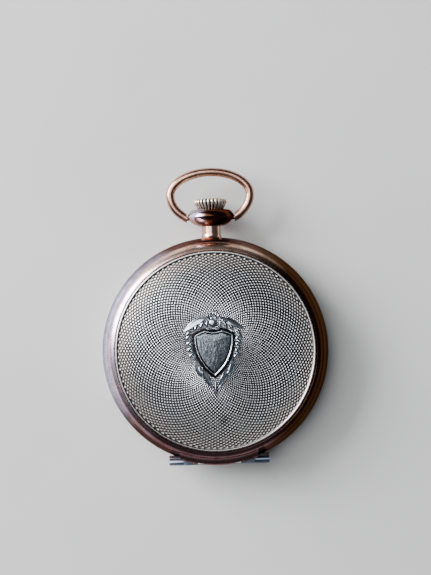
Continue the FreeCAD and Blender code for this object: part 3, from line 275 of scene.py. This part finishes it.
def plain_metal(name, colour, dark, rough=(0.2, 0.4), grain=0.4, bump=0.15, cell=1.5):
    """Metal with cloudy tarnish and a fine uneven grain."""
    shade = Shade(name, Metallic=1.0)
    cloud = shade.noise(cell, 5.0, 0.6)
    base = shade.mix(shade.ramp(cloud, (0.42, 0.0), (0.75, 1.0)), colour, dark)
    shade.colour(shade.with_hinge(base))
    texture = shade.noise(grain, 5.0, 0.65)
    shade.roughness(texture, *rough)
    shade.bump(texture, bump, 0.012)
    return shade.material


def striped_nickel():
    """Bridge nickel with broad watchmaker's stripes."""
    shade = Shade("striped_nickel", Metallic=1.0)
    along = shade.math("ADD", shade.math("MULTIPLY", shade.axis("X"), 0.94),
                       shade.math("MULTIPLY", shade.axis("Y"), 0.34))
    wave = shade.math("PINGPONG", along, STRIPE)
    share = shade.math("DIVIDE", wave, STRIPE)
    cloud = shade.noise(4.0, 4.0)
    base = shade.mix(share, (0.50, 0.49, 0.47), (0.80, 0.79, 0.76))
    shade.colour(shade.mix(shade.ramp(cloud, (0.5, 0.0), (0.8, 0.5)), base, (0.42, 0.36, 0.28)))
    shade.roughness(shade.noise(0.1, 3.0, stretch=(1, 6, 1)), 0.2, 0.38)
    shade.bump(shade.math("MULTIPLY_ADD", shade.noise(0.08, 3.0, stretch=(1, 6, 1)), 0.3,
                          share), 0.5, 0.03)
    return shade.material


def blued_steel():
    shade = Shade("blued_steel", Metallic=1.0)
    cloud = shade.noise(0.8, 3.0)
    shade.colour(shade.ramp(cloud, (0.35, (0.02, 0.035, 0.22)), (0.55, (0.04, 0.07, 0.36)),
                            (0.75, (0.12, 0.06, 0.30))))
    shade.roughness(shade.noise(0.15, 4.0), 0.12, 0.28)
    return shade.material


def ruby():
    shade = Shade("ruby", Roughness=0.06, IOR=1.76)
    shade.shader.inputs["Transmission Weight"].default_value = 0.35
    shade.colour(shade.ramp(shade.noise(0.3, 3.0), (0.3, (0.42, 0.01, 0.05)),
                            (0.7, (0.70, 0.04, 0.14))))
    return shade.material


def enamel():
    """White fired enamel, slightly creamy, with a faint orange-peel gloss."""
    shade = Shade("enamel", IOR=1.5)
    cloud = shade.noise(9.0, 4.0)
    shade.colour(shade.ramp(cloud, (0.3, (0.80, 0.78, 0.72)), (0.75, (0.86, 0.85, 0.80))))
    shade.roughness(shade.noise(2.0, 3.0), 0.10, 0.2)
    shade.bump(shade.noise(1.2, 2.0), 0.06, 0.02)
    return shade.material


def dial_ink():
    shade = Shade("dial_ink")
    shade.colour(shade.ramp(shade.noise(0.6, 3.0), (0.3, (0.012, 0.012, 0.015)),
                            (0.7, (0.03, 0.03, 0.035))))
    shade.roughness(shade.noise(0.4), 0.25, 0.4)
    return shade.material


def crystal_glass():
    """Thin clear glass with faint rubbing on its face."""
    shade = Shade("crystal_glass", IOR=1.5)
    shade.shader.inputs["Transmission Weight"].default_value = 1.0
    shade.shader.inputs["Base Color"].default_value = (0.97, 0.985, 0.98, 1)
    shade.roughness(shade.ramp(shade.noise(1.5, 6.0, 0.7, stretch=(1, 0.2, 1)),
                               (0.55, 0.0), (0.8, 1.0)), 0.01, 0.12)
    return shade.material


# ---------------------------------------------------------------- mesh building

def mesh_piece(name, points, faces, material, body, smooth=True):
    mesh = bpy.data.meshes.new(name)
    mesh.from_pydata([tuple(p) for p in points], [], [tuple(int(i) for i in f) for f in faces])
    mesh.validate()
    mesh.update()
    mesh.polygons.foreach_set("use_smooth", [smooth] * len(mesh.polygons))
    piece = bpy.data.objects.new(name, mesh)
    bpy.context.scene.collection.objects.link(piece)
    mesh.materials.append(material)
    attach(piece, body)
    return piece


def set_cut(piece, cut):
    """Store at each point how deep in a cut it lies, which the silver turns into darkness that is
    partly tarnish and partly painted shade.
    """
    attribute = piece.data.attributes.new("cut", "FLOAT", "POINT")
    attribute.data.foreach_set("value", np.asarray(cut, np.float32))


def grid_faces(rows, columns, start=0, wrap=True):
    """Quads of a grid of rows by columns of points, closed round each row if wrap."""
    last = columns if wrap else columns - 1
    faces = []
    for row in range(rows - 1):
        for column in range(last):
            beside = (column + 1) % columns
            low, high = start + row * columns, start + (row + 1) * columns
            faces.append((low + column, low + beside, high + beside, high + column))
    return faces


def dome_height(radius):
    """Height of the back's outer face at a radius."""
    return DOME_TOP - (DOME_CURVE - np.sqrt(DOME_CURVE ** 2 - np.asarray(radius) ** 2))


# ---------------------------------------------------------------- engine-turned back

PETALS = 100
SAMPLES = 8
COLUMNS = PETALS * SAMPLES
COLUMN_ANGLE = 2 * math.pi / COLUMNS
CUT_DEPTH = 0.12 * MM
# Where the cuts start and end: distances from the middle in millimetres.
CUT_START = 2.0
CUT_END = DOME_EDGE / MM - 0.1
# Petals that a cut crosses in each millimetre near the middle, and how that grows with the
# cube of the radius.
SWEEP = 1.21
SWEEP_GROWTH = 5.0e-5
# Rows of the bead round the disc: distance out from its foot and drop below the dome's top, in
# millimetres, and how dark it is there. The darkness at its foot is painted shade in the gap.
BEAD_ROWS = ((0.0, 1.27, 0.9), (0.08, 1.17, 0.0), (0.25, 1.15, 0.0), (0.4, 1.19, 0.0))
DISC_OUTSIDE = DISC_RADIUS - 0.03 * MM
INNER_TOP = DOME_TOP - 0.5 * MM
INNER_SHARES = (0.96, 0.85, 0.7, 0.5, 0.3, 0.12)


def swept_angle(radius):
    """How far round the disc a cut has swept at a radius in millimetres."""
    return 2 * math.pi / PETALS * (SWEEP * radius + SWEEP_GROWTH * radius ** 4 / 4)


def turned_grid():
    """Points of the cut dome, row by row outwards, and how deep in a cut each one lies. The
    rows are even in the angle swept, so the grid follows every cut."""
    first, last = (int(swept_angle(end) / COLUMN_ANGLE) for end in (CUT_START, CUT_END))
    swept = np.arange(first + 1, last + 1) * COLUMN_ANGLE
    fine = np.linspace(CUT_START, CUT_END, 2000)
    reach = np.interp(swept, swept_angle(fine), fine) * MM
    radius, angle = np.meshgrid(reach, np.arange(COLUMNS) * COLUMN_ANGLE, indexing="ij")
    cuts = [0.5 + 0.5 * np.cos(PETALS * (angle + side * swept[:, None])) for side in (1, -1)]
    cut = np.maximum(*cuts)
    height = dome_height(radius) - CUT_DEPTH * cut
    points = np.stack([radius * np.cos(angle), radius * np.sin(angle), height], -1)
    return points.reshape(-1, 3), cut.ravel()


def disc_rings():
    """Radius, height and darkness of the disc's other rings: over the bead at its edge, down
    its side and inwards along its hollow underside."""
    # The darkness at the dome's edge and down the disc's side is painted shade.
    rings = [(DOME_EDGE, float(dome_height(DOME_EDGE)) - 0.02 * MM, 0.9)]
    rings += [(BEAD_RADIUS + out * MM, DOME_TOP - drop * MM, dark)
              for out, drop, dark in BEAD_ROWS]
    rings += [(DISC_OUTSIDE, DOME_TOP - 1.3 * MM, 0.6), (DISC_OUTSIDE, DISC_LOW.z, 0.9),
              (BEAD_RADIUS, DISC_LOW.z, 0.9)]
    rings += [(share * BEAD_RADIUS, INNER_TOP - (INNER_TOP - DISC_LOW.z) * share ** 2, 0.3)
              for share in INNER_SHARES]
    return rings


def engine_turned_back(material):
    """Disc cut by two sets of curves that sweep out from the middle, one of each set for each
    petal, leaving a raised grain in every mesh."""
    points, cut = turned_grid()
    rings = disc_rings()
    ring_points, ring_cut = [], []
    for radius, height, dark in rings:
        for column in range(COLUMNS):
            turn = column * COLUMN_ANGLE
            ring_points.append((radius * math.cos(turn), radius * math.sin(turn), height))
            ring_cut.append(dark)
    row_count = len(points) // COLUMNS + len(rings)
    points = np.vstack([points, ring_points, [(0, 0, DOME_TOP - CUT_DEPTH), (0, 0, INNER_TOP)]])
    top, bottom = len(points) - 2, len(points) - 1
    last = (row_count - 1) * COLUMNS
    faces = grid_faces(row_count, COLUMNS)
    faces += [(top, column, (column + 1) % COLUMNS) for column in range(COLUMNS)]
    faces += [(bottom, last + (column + 1) % COLUMNS, last + column)
              for column in range(COLUMNS)]
    piece = mesh_piece("engine_turned_back", points, [f[::-1] for f in faces], material,
                       "back_lid")
    set_cut(piece, np.concatenate([cut, ring_cut, [0.5, 0.3]]))
    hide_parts("back_cover")


# ---------------------------------------------------------------- shield and garland

# Corners of the shield's right half and a point on each arc between them, in millimetres.
SHIELD_DIP = (0.0, 4.3)
SHIELD_PEAK = (1.9, 4.65)
SHIELD_CORNER = (4.15, 3.7)
SHIELD_POINT = (0.0, -5.25)
SHIELD_ARCS = ((SHIELD_DIP, (0.95, 4.39), SHIELD_PEAK),
               (SHIELD_PEAK, (3.05, 4.2), SHIELD_CORNER),
               (SHIELD_CORNER, (3.24, -1.4), SHIELD_POINT))
# Rings in from the outline: distance inwards and drop from the shield's top, in millimetres,
# and how dark the metal is there, which is partly tarnish and partly painted shade at the
# outline's foot and in the groove.
SHIELD_RINGS = ((0.0, 0.45, 1.0), (0.0, 0.24, 0.8), (0.05, 0.10, 0.0), (0.14, 0.0, 0.0),
                (0.22, 0.0, 0.0), (0.34, 0.12, 0.1), (0.38, 0.24, 1.0), (0.52, 0.25, 1.0),
                (0.62, 0.18, 0.5))
FIELD_RINGS = 22
FIELD_RISE = 0.05 * MM
FIELD_CUT = 0.34
HAMMER_DEPTH = 0.007 * MM
# Blades of the garland's right half: start, bend and end in the plan, width, height (all in
# millimetres) and where along it the blade is widest.
RIBBONS = (((1.0, 7.75), (3.2, 6.9), (6.7, 4.6), 1.35, 0.34, 0.60),
           ((4.0, -0.6), (4.25, -2.8), (2.9, -5.4), 1.25, 0.32, 0.70),
           ((2.55, -3.5), (2.2, -5.4), (0.75, -8.0), 1.20, 0.34, 0.52))
LEAVES = (((1.7, 6.9), (2.7, 6.3), (2.9, 4.9), 0.75, 0.36, 0.62),
          ((3.1, 6.2), (3.9, 5.6), (4.2, 4.6), 0.75, 0.36, 0.62),
          ((1.15, 6.9), (1.75, 6.2), (1.25, 5.1), 0.65, 0.36, 0.55),
          ((0.25, 5.0), (0.85, 4.7), (1.75, 5.2), 0.45, 0.26, 0.5),
          ((4.7, 4.4), (5.5, 4.6), (6.0, 3.6), 0.60, 0.30, 0.5),
          ((0.55, 6.75), (0.5, 7.2), (0.42, 7.75), 0.52, 0.34, 0.5),
          ((0.85, 7.3), (1.3, 7.8), (1.2, 8.4), 0.50, 0.36, 0.5),
          ((0.35, 7.6), (0.75, 8.2), (0.60, 8.9), 0.50, 0.36, 0.5),
          ((3.35, -3.4), (3.0, -4.4), (2.5, -5.0), 0.50, 0.26, 0.5))
MIDDLE_BLADES = (((0.0, 7.6), (0.0, 8.2), (0.0, 9.0), 0.55, 0.40, 0.5),
                 ((0.0, -5.9), (0.1, -7.8), (0.1, -9.5), 0.90, 0.32, 0.58))
BUD_AT = (0.0, 6.25)
BUD_RADIUS = 0.95
BUD_HEIGHT = 0.40
BUD_SINK = 0.1
# Husks down the shield's side: how many, the first one's place, the step down to the next and
# how fast their row bends inwards. Each is two blades, placed from the husk's own place.
HUSKS = 4
HUSK_AT = (4.75, 3.35)
HUSK_STEP = 1.3
HUSK_BEND = 0.06
HUSK_BLADES = (((-0.35, 0.3), (1.2, 0.5), (1.15, -0.85), 0.80, 0.34, 0.55),
               ((0.75, -0.05), (0.2, -0.4), (0.0, -0.95), 0.60, 0.28, 0.5))
# Across a blade from its inner edge to its outer: place between them, share of its height,
# and how dark it is there, partly tarnish and partly painted shade. A ribbon slopes out to a
# raised edge; a leaf has a middle ridge.
RIBBON_SECTION = ((-1.0, -0.5, 1.0), (-0.94, 0.85, 0.6), (-0.82, 1.0, 0.0), (-0.1, 0.62, 0.08),
                  (0.45, 0.16, 0.25), (0.60, 0.10, 1.0), (0.78, 0.85, 0.0), (0.92, 0.72, 0.1),
                  (1.0, -0.5, 1.0))
LEAF_SECTION = ((-1.0, -0.5, 1.0), (-0.9, 0.2, 0.9), (-0.5, 0.7, 0.1), (-0.12, 1.0, 0.0),
                (0.12, 1.0, 0.0), (0.5, 0.7, 0.3), (0.9, 0.2, 1.0), (1.0, -0.5, 1.0))
# A blade's height falls towards its tips with this power of its width.
TIP_FALL = 0.35
OUTWARD = np.array([1.0, 0.5])
# Rings of the dark ground round the shield: distance out from its outline and rise above the
# dome, in millimetres.
GROUND_RINGS = ((-0.3, 0.03), (0.3, 0.05), (0.5, 0.05), (0.55, -0.25), (-0.3, -0.25))


def arc_points(start, through, end, count):
    """Evenly spaced points of the circle arc through three points, without its end."""
    first, second, third = (complex(*point) for point in (start, through, end))
    ratio = (third - first) / (second - first)
    centre = first - (first - second) * (ratio - abs(ratio) ** 2) / (2j * ratio.imag)
    spoke = first - centre
    sweep = np.angle((third - centre) / spoke)
    turned = centre + spoke * np.exp(1j * sweep * np.arange(count) / count)
    return np.stack([turned.real, turned.imag], -1)


def shield_outline(per_arc=28):
    """Closed outline of the shield, in metres, going round to the right from its top dip."""
    right = np.vstack([arc_points(*arc, per_arc) for arc in SHIELD_ARCS])
    left = (right[1:] * (-1, 1))[::-1]
    outline = np.vstack([right, [SHIELD_POINT], left]) * MM
    return outline + (ORNAMENT_X, 0)


def inward_normals(outline):
    """Unit vectors into a closed outline that goes round clockwise."""
    along = np.roll(outline, -1, 0) - np.roll(outline, 1, 0)
    inward = np.stack([along[:, 1], -along[:, 0]], -1)
    return inward / np.linalg.norm(inward, axis=1)[:, None]


def relief_piece(name, points, faces, cut, material, node):
    piece = mesh_piece(name, points, faces, material, "back_lid")
    piece.data.set_sharp_from_angle(angle=math.radians(50))
    set_cut(piece, cut)
    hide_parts(node)


def shield_relief(material):
    """Shield with a raised rim, a groove inside it and a finely hammered field."""
    outline = shield_outline()
    inward = inward_normals(outline)
    middle = outline.mean(0)
    rows, cut = [], []
    for inset, drop, dark in SHIELD_RINGS:
        plan = outline + inward * inset * MM
        height = np.full(len(plan), SHIELD_HIGH.z - drop * MM)
        rows.append(np.column_stack([plan, height]))
        cut.append(np.full(len(plan), dark))
    edge = rows[-1]
    rng = np.random.default_rng(5)
    for step in range(1, FIELD_RINGS):
        share = 1 - step / FIELD_RINGS
        plan = middle + (edge[:, :2] - middle) * share
        hammer = rng.normal(0, HAMMER_DEPTH, len(plan)) * min(share * 3, 1)
        height = edge[:, 2] + FIELD_RISE * (1 - share ** 2) + hammer
        rows.append(np.column_stack([plan, height]))
        cut.append(np.clip(FIELD_CUT + 0.10 * share - hammer / HAMMER_DEPTH * 0.06, 0, 1))
    centre = [(*middle, edge[0, 2] + FIELD_RISE)]
    floor = [(*middle, rows[0][0, 2])]
    points = np.vstack(rows + [centre, floor])
    count = len(outline)
    faces = grid_faces(len(rows), count)
    last = (len(rows) - 1) * count
    top, bottom = len(points) - 2, len(points) - 1
    faces += [(last + i, last + (i + 1) % count, top) for i in range(count)]
    faces += [((i + 1) % count, i, bottom) for i in range(count)]
    relief_piece("shield_relief", points, [face[::-1] for face in faces],
                 np.concatenate(cut + [[FIELD_CUT, 1.0]]), material, "shield")


def on_dome(plan, rise):
    """Place on the back, from millimetres in the ornament's plan and a rise above the dome."""
    flat = np.asarray(plan) * MM + (ORNAMENT_X, 0)
    return (*flat, float(dome_height(math.hypot(*flat))) + rise * MM)


def blade_mesh(start, bend, end, width, height, widest, section=LEAF_SECTION, steps=18):
    """Pointed blade along a curve on the dome, its section running from inside to outside."""
    start, bend, end = (np.array(point) for point in (start, bend, end))
    share = np.linspace(0, 1, steps + 1)[1:-1]
    spine = (np.outer((1 - share) ** 2, start) + np.outer(2 * share * (1 - share), bend)
             + np.outer(share ** 2, end))
    along = np.outer(1 - share, bend - start) + np.outer(share, end - bend)
    side = np.stack([-along[:, 1], along[:, 0]], -1)
    side /= np.linalg.norm(side, axis=1)[:, None]
    turned = side[len(side) // 2] @ OUTWARD < 0
    side = -side if turned else side
    swell = np.sin(math.pi * share ** (math.log(0.5) / math.log(widest)))
    points, cut = [], []
    for centre, across, fullness in zip(spine, side, swell):
        for place, rise, dark in section:
            points.append(on_dome(centre + across * place * fullness * width / 2,
                                  rise * height * fullness ** TIP_FALL))
            cut.append(dark)
    size = len(section)
    faces = grid_faces(len(spine), size)
    for tip, row in ((start, 0), (end, (len(spine) - 1) * size)):
        points.append(on_dome(tip, 0))
        cut.append(0.8)
        pole = len(points) - 1
        fan = [(row + i, row + (i + 1) % size, pole) for i in range(size)]
        faces += fan if row else [face[::-1] for face in fan]
    return points, faces if turned else [face[::-1] for face in faces], cut


def bud_mesh(rings=7, around=28):
    """Round bud under the crown of petals, a dark groove at its foot."""
    points, cut = [], []
    for ring in range(rings):
        lift = math.pi / 2 * ring / rings
        reach = BUD_RADIUS * math.cos(lift)
        for step in range(around):
            turn = 2 * math.pi * step / around
            plan = np.array([math.cos(turn), math.sin(turn)]) * reach + BUD_AT
            points.append(on_dome(plan, BUD_HEIGHT * math.sin(lift) - BUD_SINK))
            cut.append(1.0 if ring == 0 else 0.3)
    points.append(on_dome(BUD_AT, BUD_HEIGHT - BUD_SINK))
    last = (rings - 1) * around
    faces = grid_faces(rings, around)
    faces += [(last + i, last + (i + 1) % around, rings * around) for i in range(around)]
    faces.append(tuple(range(around))[::-1])
    return points, faces, cut + [0.3]


def ground_mesh():
    """Dark sheet under the leaves, a band that follows the shield's outline; its darkness is
    partly tarnish and partly painted shade between the leaves.
    """
    outline = (shield_outline() - (ORNAMENT_X, 0)) / MM
    inward = inward_normals(outline)
    points = [on_dome(plan, rise) for reach, rise in GROUND_RINGS
              for plan in outline - inward * reach]
    faces = grid_faces(len(GROUND_RINGS), len(outline))
    return points, faces, [0.9] * len(points)


def garland_meshes():
    """Meshes of the middle pieces, then of each right-hand piece and its mirror image."""
    meshes = [ground_mesh(), bud_mesh()] + [blade_mesh(*blade) for blade in MIDDLE_BLADES]
    right = [blade_mesh(*ribbon, section=RIBBON_SECTION) for ribbon in RIBBONS]
    right += [blade_mesh(*leaf) for leaf in LEAVES]
    for husk in range(HUSKS):
        place = np.array(HUSK_AT) - (HUSK_BEND * husk ** 2, HUSK_STEP * husk)
        for start, bend, end, *shape in HUSK_BLADES:
            right.append(blade_mesh(place + start, place + bend, place + end, *shape))
    for points, faces, cut in right:
        mirrored = [(2 * ORNAMENT_X - x, y, z) for x, y, z in points]
        meshes += [(points, faces, cut), (mirrored, [face[::-1] for face in faces], cut)]
    return meshes


def garland_relief(material):
    points, faces, cut = [], [], []
    for more, sides, dark in garland_meshes():
        faces += [tuple(len(points) + i for i in side) for side in sides]
        points += more
        cut += dark
    relief_piece("garland_relief", points, faces, cut, material, "garland")


# ---------------------------------------------------------------- crown

FLUTES = 26
# Profile of the crown from its foot: height above the foot, radius, and share of the full
# flute depth, heights and radii in millimetres.
CROWN_ROWS = ((0.0, 2.0, 0.0), (0.02, 2.4, 0.5), (0.35, 2.6, 0.9), (0.9, 2.95, 1.0),
              (1.5, 3.34, 1.0), (2.05, 3.66, 1.0), (2.4, 3.75, 1.0), (2.7, 3.64, 1.0),
              (2.92, 3.35, 0.9), (3.05, 2.95, 0.6), (3.12, 2.6, 0.25), (3.14, 2.4, 0.0),
              (3.18, 1.7, 0.0), (3.22, 0.9, 0.0))
CROWN_TOP_ROW = CROWN_ROWS[-1][0] + 0.03
FLUTE_DEPTH = 0.42
CROWN_BORE = 0.62
# Powers that round the ribs' tops and keep the darkness in the grooves between them, which is
# partly dirt and partly painted shade.
RIB_ROUND = 0.55
GROOVE_DARK = 0.8
PER_FLUTE = 10


def fluted_crown(material):
    """Winding crown with rounded ribs that flare from the foot and turn in over the top."""
    count = FLUTES * PER_FLUTE
    turn = np.arange(count) * 2 * math.pi / count
    rib = np.abs(np.cos(FLUTES * turn / 2)) ** RIB_ROUND
    points, cut = [], []
    top = (CROWN_HIGH.y - CROWN_LOW.y) / MM
    rows = [(0.0, CROWN_BORE, 0.0)] + list(CROWN_ROWS)
    for rise, radius, share in rows:
        reach = (radius - FLUTE_DEPTH * share * (1 - rib)) * MM
        height = CROWN_LOW.y + rise * top / CROWN_TOP_ROW * MM
        points += list(zip(reach * np.cos(turn), [height] * count, STEM_Z + reach * np.sin(turn)))
        cut += list(share * (1 - rib) ** GROOVE_DARK)
    size = len(rows)
    faces = grid_faces(size, count)
    points += [(0, CROWN_HIGH.y, STEM_Z), (0, CROWN_LOW.y, STEM_Z)]
    cut += [0.0, 0.0]
    crest, foot, last = len(points) - 2, len(points) - 1, (size - 1) * count
    faces += [(last + i, last + (i + 1) % count, crest) for i in range(count)]
    faces += [((i + 1) % count, i, foot) for i in range(count)]
    piece = mesh_piece("fluted_crown", points, faces, material, "crown_and_stem")
    piece.data.set_sharp_from_angle(angle=math.radians(60))
    set_cut(piece, cut)
    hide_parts("crown")


# ---------------------------------------------------------------- dial print

NUMERAL_RING = 17.2 * MM
NUMERAL_SIZE = 3.6 * MM
MINUTE_RING = 20.0 * MM
SECONDS_RING = 3.75 * MM
PRINT_THICK = 0.02 * MM


def tick(radius, length, width, angle, centre, face):
    """Printed mark across a ring of the dial, standing a hair below its face."""
    out = Vector((-math.sin(angle), math.cos(angle), 0))
    side = Vector((out.y, -out.x, 0))
    corners = []
    for drop in (0, PRINT_THICK):
        for along, across in ((-0.5, -0.5), (0.5, -0.5), (0.5, 0.5), (-0.5, 0.5)):
            place = centre + out * (radius + along * length) + side * across * width
            corners.append((place.x, place.y, face - drop))
    sides = [(0, 1, 2, 3), (7, 6, 5, 4), (0, 4, 5, 1), (1, 5, 6, 2), (2, 6, 7, 3), (3, 7, 4, 0)]
    return corners, sides


def dial_marks(material):
    """Minute and seconds tracks, a longer mark at every fifth."""
    points, faces = [], []
    centre = Vector((0, 0, 0))
    tracks = ((60, MINUTE_RING, 0.7, 0.10, 1.0, 0.28, centre, DIAL_FACE),
              (60, SECONDS_RING, 0.35, 0.05, 0.55, 0.10, SECONDS_AT, SECONDS_FACE))
    for count, radius, length, width, long_length, long_width, at, face in tracks:
        for mark in range(count):
            angle = 2 * math.pi * mark / count
            size = (long_length, long_width) if mark % 5 == 0 else (length, width)
            more, sides = tick(radius, size[0] * MM, size[1] * MM, angle, at, face)
            faces += [tuple(len(points) + i for i in side) for side in sides]
            points += more
    mesh_piece("dial_tracks", points, faces, material, "root", smooth=False)


def dial_numerals(material):
    """Upright hour figures, read from the crystal's side. Six gives way to the seconds."""
    figures = [(str(hour), NUMERAL_RING, NUMERAL_SIZE, hour * math.pi / 6, Vector((0, 0, 0)),
                DIAL_FACE) for hour in range(1, 13) if hour != 6]
    figures += [(str(mark), SECONDS_RING - 0.95 * MM, 0.8 * MM, mark * math.pi / 30,
                 SECONDS_AT, SECONDS_FACE) for mark in (15, 30, 45, 60)]
    for index, (words, ring, size, angle, at, face) in enumerate(figures):
        text = bpy.data.curves.new("numeral_%02d" % index, "FONT")
        text.body = words
        text.size = size
        text.align_x = "CENTER"
        text.align_y = "CENTER"
        text.extrude = PRINT_THICK / 2
        text.materials.append(material)
        piece = bpy.data.objects.new("numeral_%02d" % index, text)
        bpy.context.scene.collection.objects.link(piece)
        piece.location = at + Vector((-ring * math.sin(angle), ring * math.cos(angle),
                                      face - PRINT_THICK / 2))
        piece.rotation_euler = (0, math.pi, 0)
        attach(piece, "root")


# ---------------------------------------------------------------- stage

FLOOR_HALF = 1.5
WORLD_COLOUR = (0.80, 0.86, 1.0, 1)
WORLD_STRENGTH = 0.10
AIM = Vector((0, 0.004, 0.006))
# Area lights: name, place, size and power, and colour.
LIGHTS = (("window", (-0.62, 0.34, 0.34), 0.50, 18.0, (0.95, 0.96, 1.0)),
          ("ceiling", (-0.42, 0.28, 0.95), 1.0, 12.0, (0.95, 0.98, 1.0)))
CAMERA_HEIGHT = 282 * MM
CAMERA_RISE = 13.9 * MM
CAMERA_TILT = math.radians(2.0)
CAMERA_LENS = 79.8
CAMERA_SENSOR = 36.0


def stage():
    scene = bpy.context.scene
    shade = Shade("pale_floor", Roughness=0.75)
    shade.colour(shade.ramp(shade.noise(60.0, 3.0), (0.3, (0.60, 0.59, 0.57)),
                            (0.7, (0.66, 0.65, 0.63))))
    mesh = bpy.data.meshes.new("floor")
    corners = [(x * FLOOR_HALF, y * FLOOR_HALF, 0) for x, y in ((-1, -1), (1, -1), (1, 1), (-1, 1))]
    mesh.from_pydata(corners, [], [(0, 1, 2, 3)])
    floor = bpy.data.objects.new("floor", mesh)
    mesh.materials.append(shade.material)
    scene.collection.objects.link(floor)

    world = bpy.data.worlds.new("studio")
    scene.world = world
    world.use_nodes = True
    background = world.node_tree.nodes["Background"]
    background.inputs["Color"].default_value = WORLD_COLOUR
    background.inputs["Strength"].default_value = WORLD_STRENGTH

    for name, place, size, power, colour in LIGHTS:
        lamp = bpy.data.lights.new(name, "AREA")
        lamp.size = size
        lamp.energy = power
        lamp.color = colour
        light = bpy.data.objects.new(name, lamp)
        light.location = place
        light.rotation_euler = (AIM - light.location).to_track_quat("-Z", "Y").to_euler()
        scene.collection.objects.link(light)


def camera():
    """Straight down from reading distance, turned a little against the watch."""
    middle = Vector((0, 0, STEM_Z))
    up = Vector((math.sin(CAMERA_TILT), math.cos(CAMERA_TILT), 0))
    centre = middle + up * CAMERA_RISE
    data = bpy.data.cameras.new("camera")
    data.sensor_width = CAMERA_SENSOR
    data.lens = CAMERA_LENS
    data.clip_start = 0.01
    eye = bpy.data.objects.new("camera", data)
    eye.location = centre + Vector((0, 0, CAMERA_HEIGHT))
    eye.rotation_euler = (0, 0, -CAMERA_TILT)
    bpy.context.scene.collection.objects.link(eye)
    bpy.context.scene.camera = eye


# ---------------------------------------------------------------- the watch

def finish_nodes():
    """A material for every CAD node that stays in view."""
    # Painted light and shade: each gold's pale left tone is lit metal and its dark right tone
    # shaded metal.
    gold = toned_gold("rose_gold", (1.0, 0.75, 0.87), (0.05, 0.022, 0.012),
                      (((0.98, 0.66, 0.50), TOP_FADE), ((0.22, 0.115, 0.12), HINGE_SIDE_FADE)),
                      (0.16, 0.36))
    band = toned_gold("band_gold", (0.48, 0.52, 0.66), (0.06, 0.03, 0.016),
                      (((0.14, 0.08, 0.07), TOP_FADE), ((0.08, 0.045, 0.045), HINGE_SIDE_FADE)),
                      (0.2, 0.42), mottling=0.7)
    # The pendant's pale blue-violet left tone is a painted highlight on the bulb.
    neck = toned_gold("pendant_gold", (0.84, 0.80, 0.98), (0.075, 0.025, 0.014),
                      (((0.74, 0.44, 0.33), (NECK_SHARE, NECK_SHARE - 0.05)),), (0.12, 0.28),
                      mottling=0.5, reach=PENDANT_RADIUS, lit_to_shaded=(-0.95, -0.10))
    wire = plain_metal("bow_gold", (0.60, 0.34, 0.245), (0.16, 0.07, 0.045), (0.16, 0.32), 0.3,
                       cell=4.0)
    steel = plain_metal("polished_steel", (0.62, 0.63, 0.66), (0.36, 0.36, 0.38))
    hinge = plain_metal("hinge_steel", (0.55, 0.62, 0.74), (0.18, 0.22, 0.28), (0.25, 0.45))
    brass = plain_metal("train_brass", (0.85, 0.62, 0.27), (0.52, 0.35, 0.15),
                        (0.16, 0.34), 0.12)
    gilt = plain_metal("gilt_plate", (0.80, 0.58, 0.28), (0.55, 0.38, 0.18), (0.32, 0.5),
                       0.06, bump=0.3)
    silver = plain_metal("satin_silver", (0.80, 0.79, 0.76), (0.48, 0.45, 0.41),
                         (0.22, 0.42), 0.5, cell=5.0)
    screw_gold = plain_metal("turned_gold", (0.90, 0.66, 0.30), (0.6, 0.42, 0.18))
    blue, nickel, red, white, glass = (blued_steel(), striped_nickel(), ruby(), enamel(),
                                       crystal_glass())
    by_node = {
        gold: ("back_cover_rim", "bezel"), neck: ("pendant",), band: ("case_middle",),
        wire: ("bow",), silver: ("cuvette",), hinge: ("hinge_pin",), glass: ("crystal",),
        gilt: ("main_plate",), white: ("dial", "seconds_dial"),
        screw_gold: ("timing_screws",),
        nickel: ("barrel_bridge", "train_bridge", "escape_cock", "balance_cock",
                 "pallet_cock"),
        red: ("plate_jewels", "bridge_jewels", "pallet_stones", "impulse_jewel"),
        blue: ("case_screws", "bridge_screws", "ratchet_screw", "hairspring", "mainspring",
               "hour_hand", "minute_hand", "seconds_hand"),
        brass: ("barrel_drum", "barrel_lid", "centre_wheel", "third_wheel", "fourth_wheel",
                "balance_wheel", "minute_wheel", "hour_wheel"),
    }
    chosen = {node: material for material, names in by_node.items() for node in names}
    for name, node in NODES.items():
        mesh = node.data
        mesh.materials.clear()
        mesh.materials.append(chosen.get(name, steel))
        mesh.polygons.foreach_set("use_smooth", [True] * len(mesh.polygons))
        mesh.set_sharp_from_angle(angle=math.radians(30))


def build():
    finish_nodes()
    # The disc's dark grooves are partly tarnish and partly painted shade.
    engine_turned_back(aged_silver(
        "engine_turned_silver", ((0.80, 0.82, 0.85), (0.94, 0.95, 0.97)),
        ((0.012, 0.010, 0.012), (0.03, 0.028, 0.03)), stained_and_shaded=True, dark_from=0.25,
        dark_at=0.75, rough=(0.2, 0.34)))
    # The relief's dark hollows are partly tarnish and partly painted shade.
    relief = aged_silver("relief_silver", ((0.50, 0.60, 0.70), (0.88, 0.94, 1.0)),
                         ((0.010, 0.009, 0.009), (0.03, 0.026, 0.026)), grain=0.3,
                         cloud_size=0.45, dark_from=0.02, dark_at=0.6, rough=(0.12, 0.26))
    shield_relief(relief)
    garland_relief(relief)
    # The crown's dark grooves are partly dirt and partly painted shade.
    fluted_crown(aged_silver("crown_gold", ((1.0, 0.84, 0.68), (1.0, 0.93, 0.80)),
                             ((0.02, 0.006, 0.004), (0.05, 0.018, 0.012)), grain=0.3,
                             cloud_size=2.0, dark_from=0.2, dark_at=0.5))
    ink = dial_ink()
    dial_marks(ink)
    dial_numerals(ink)
    stage()
    camera()


build()
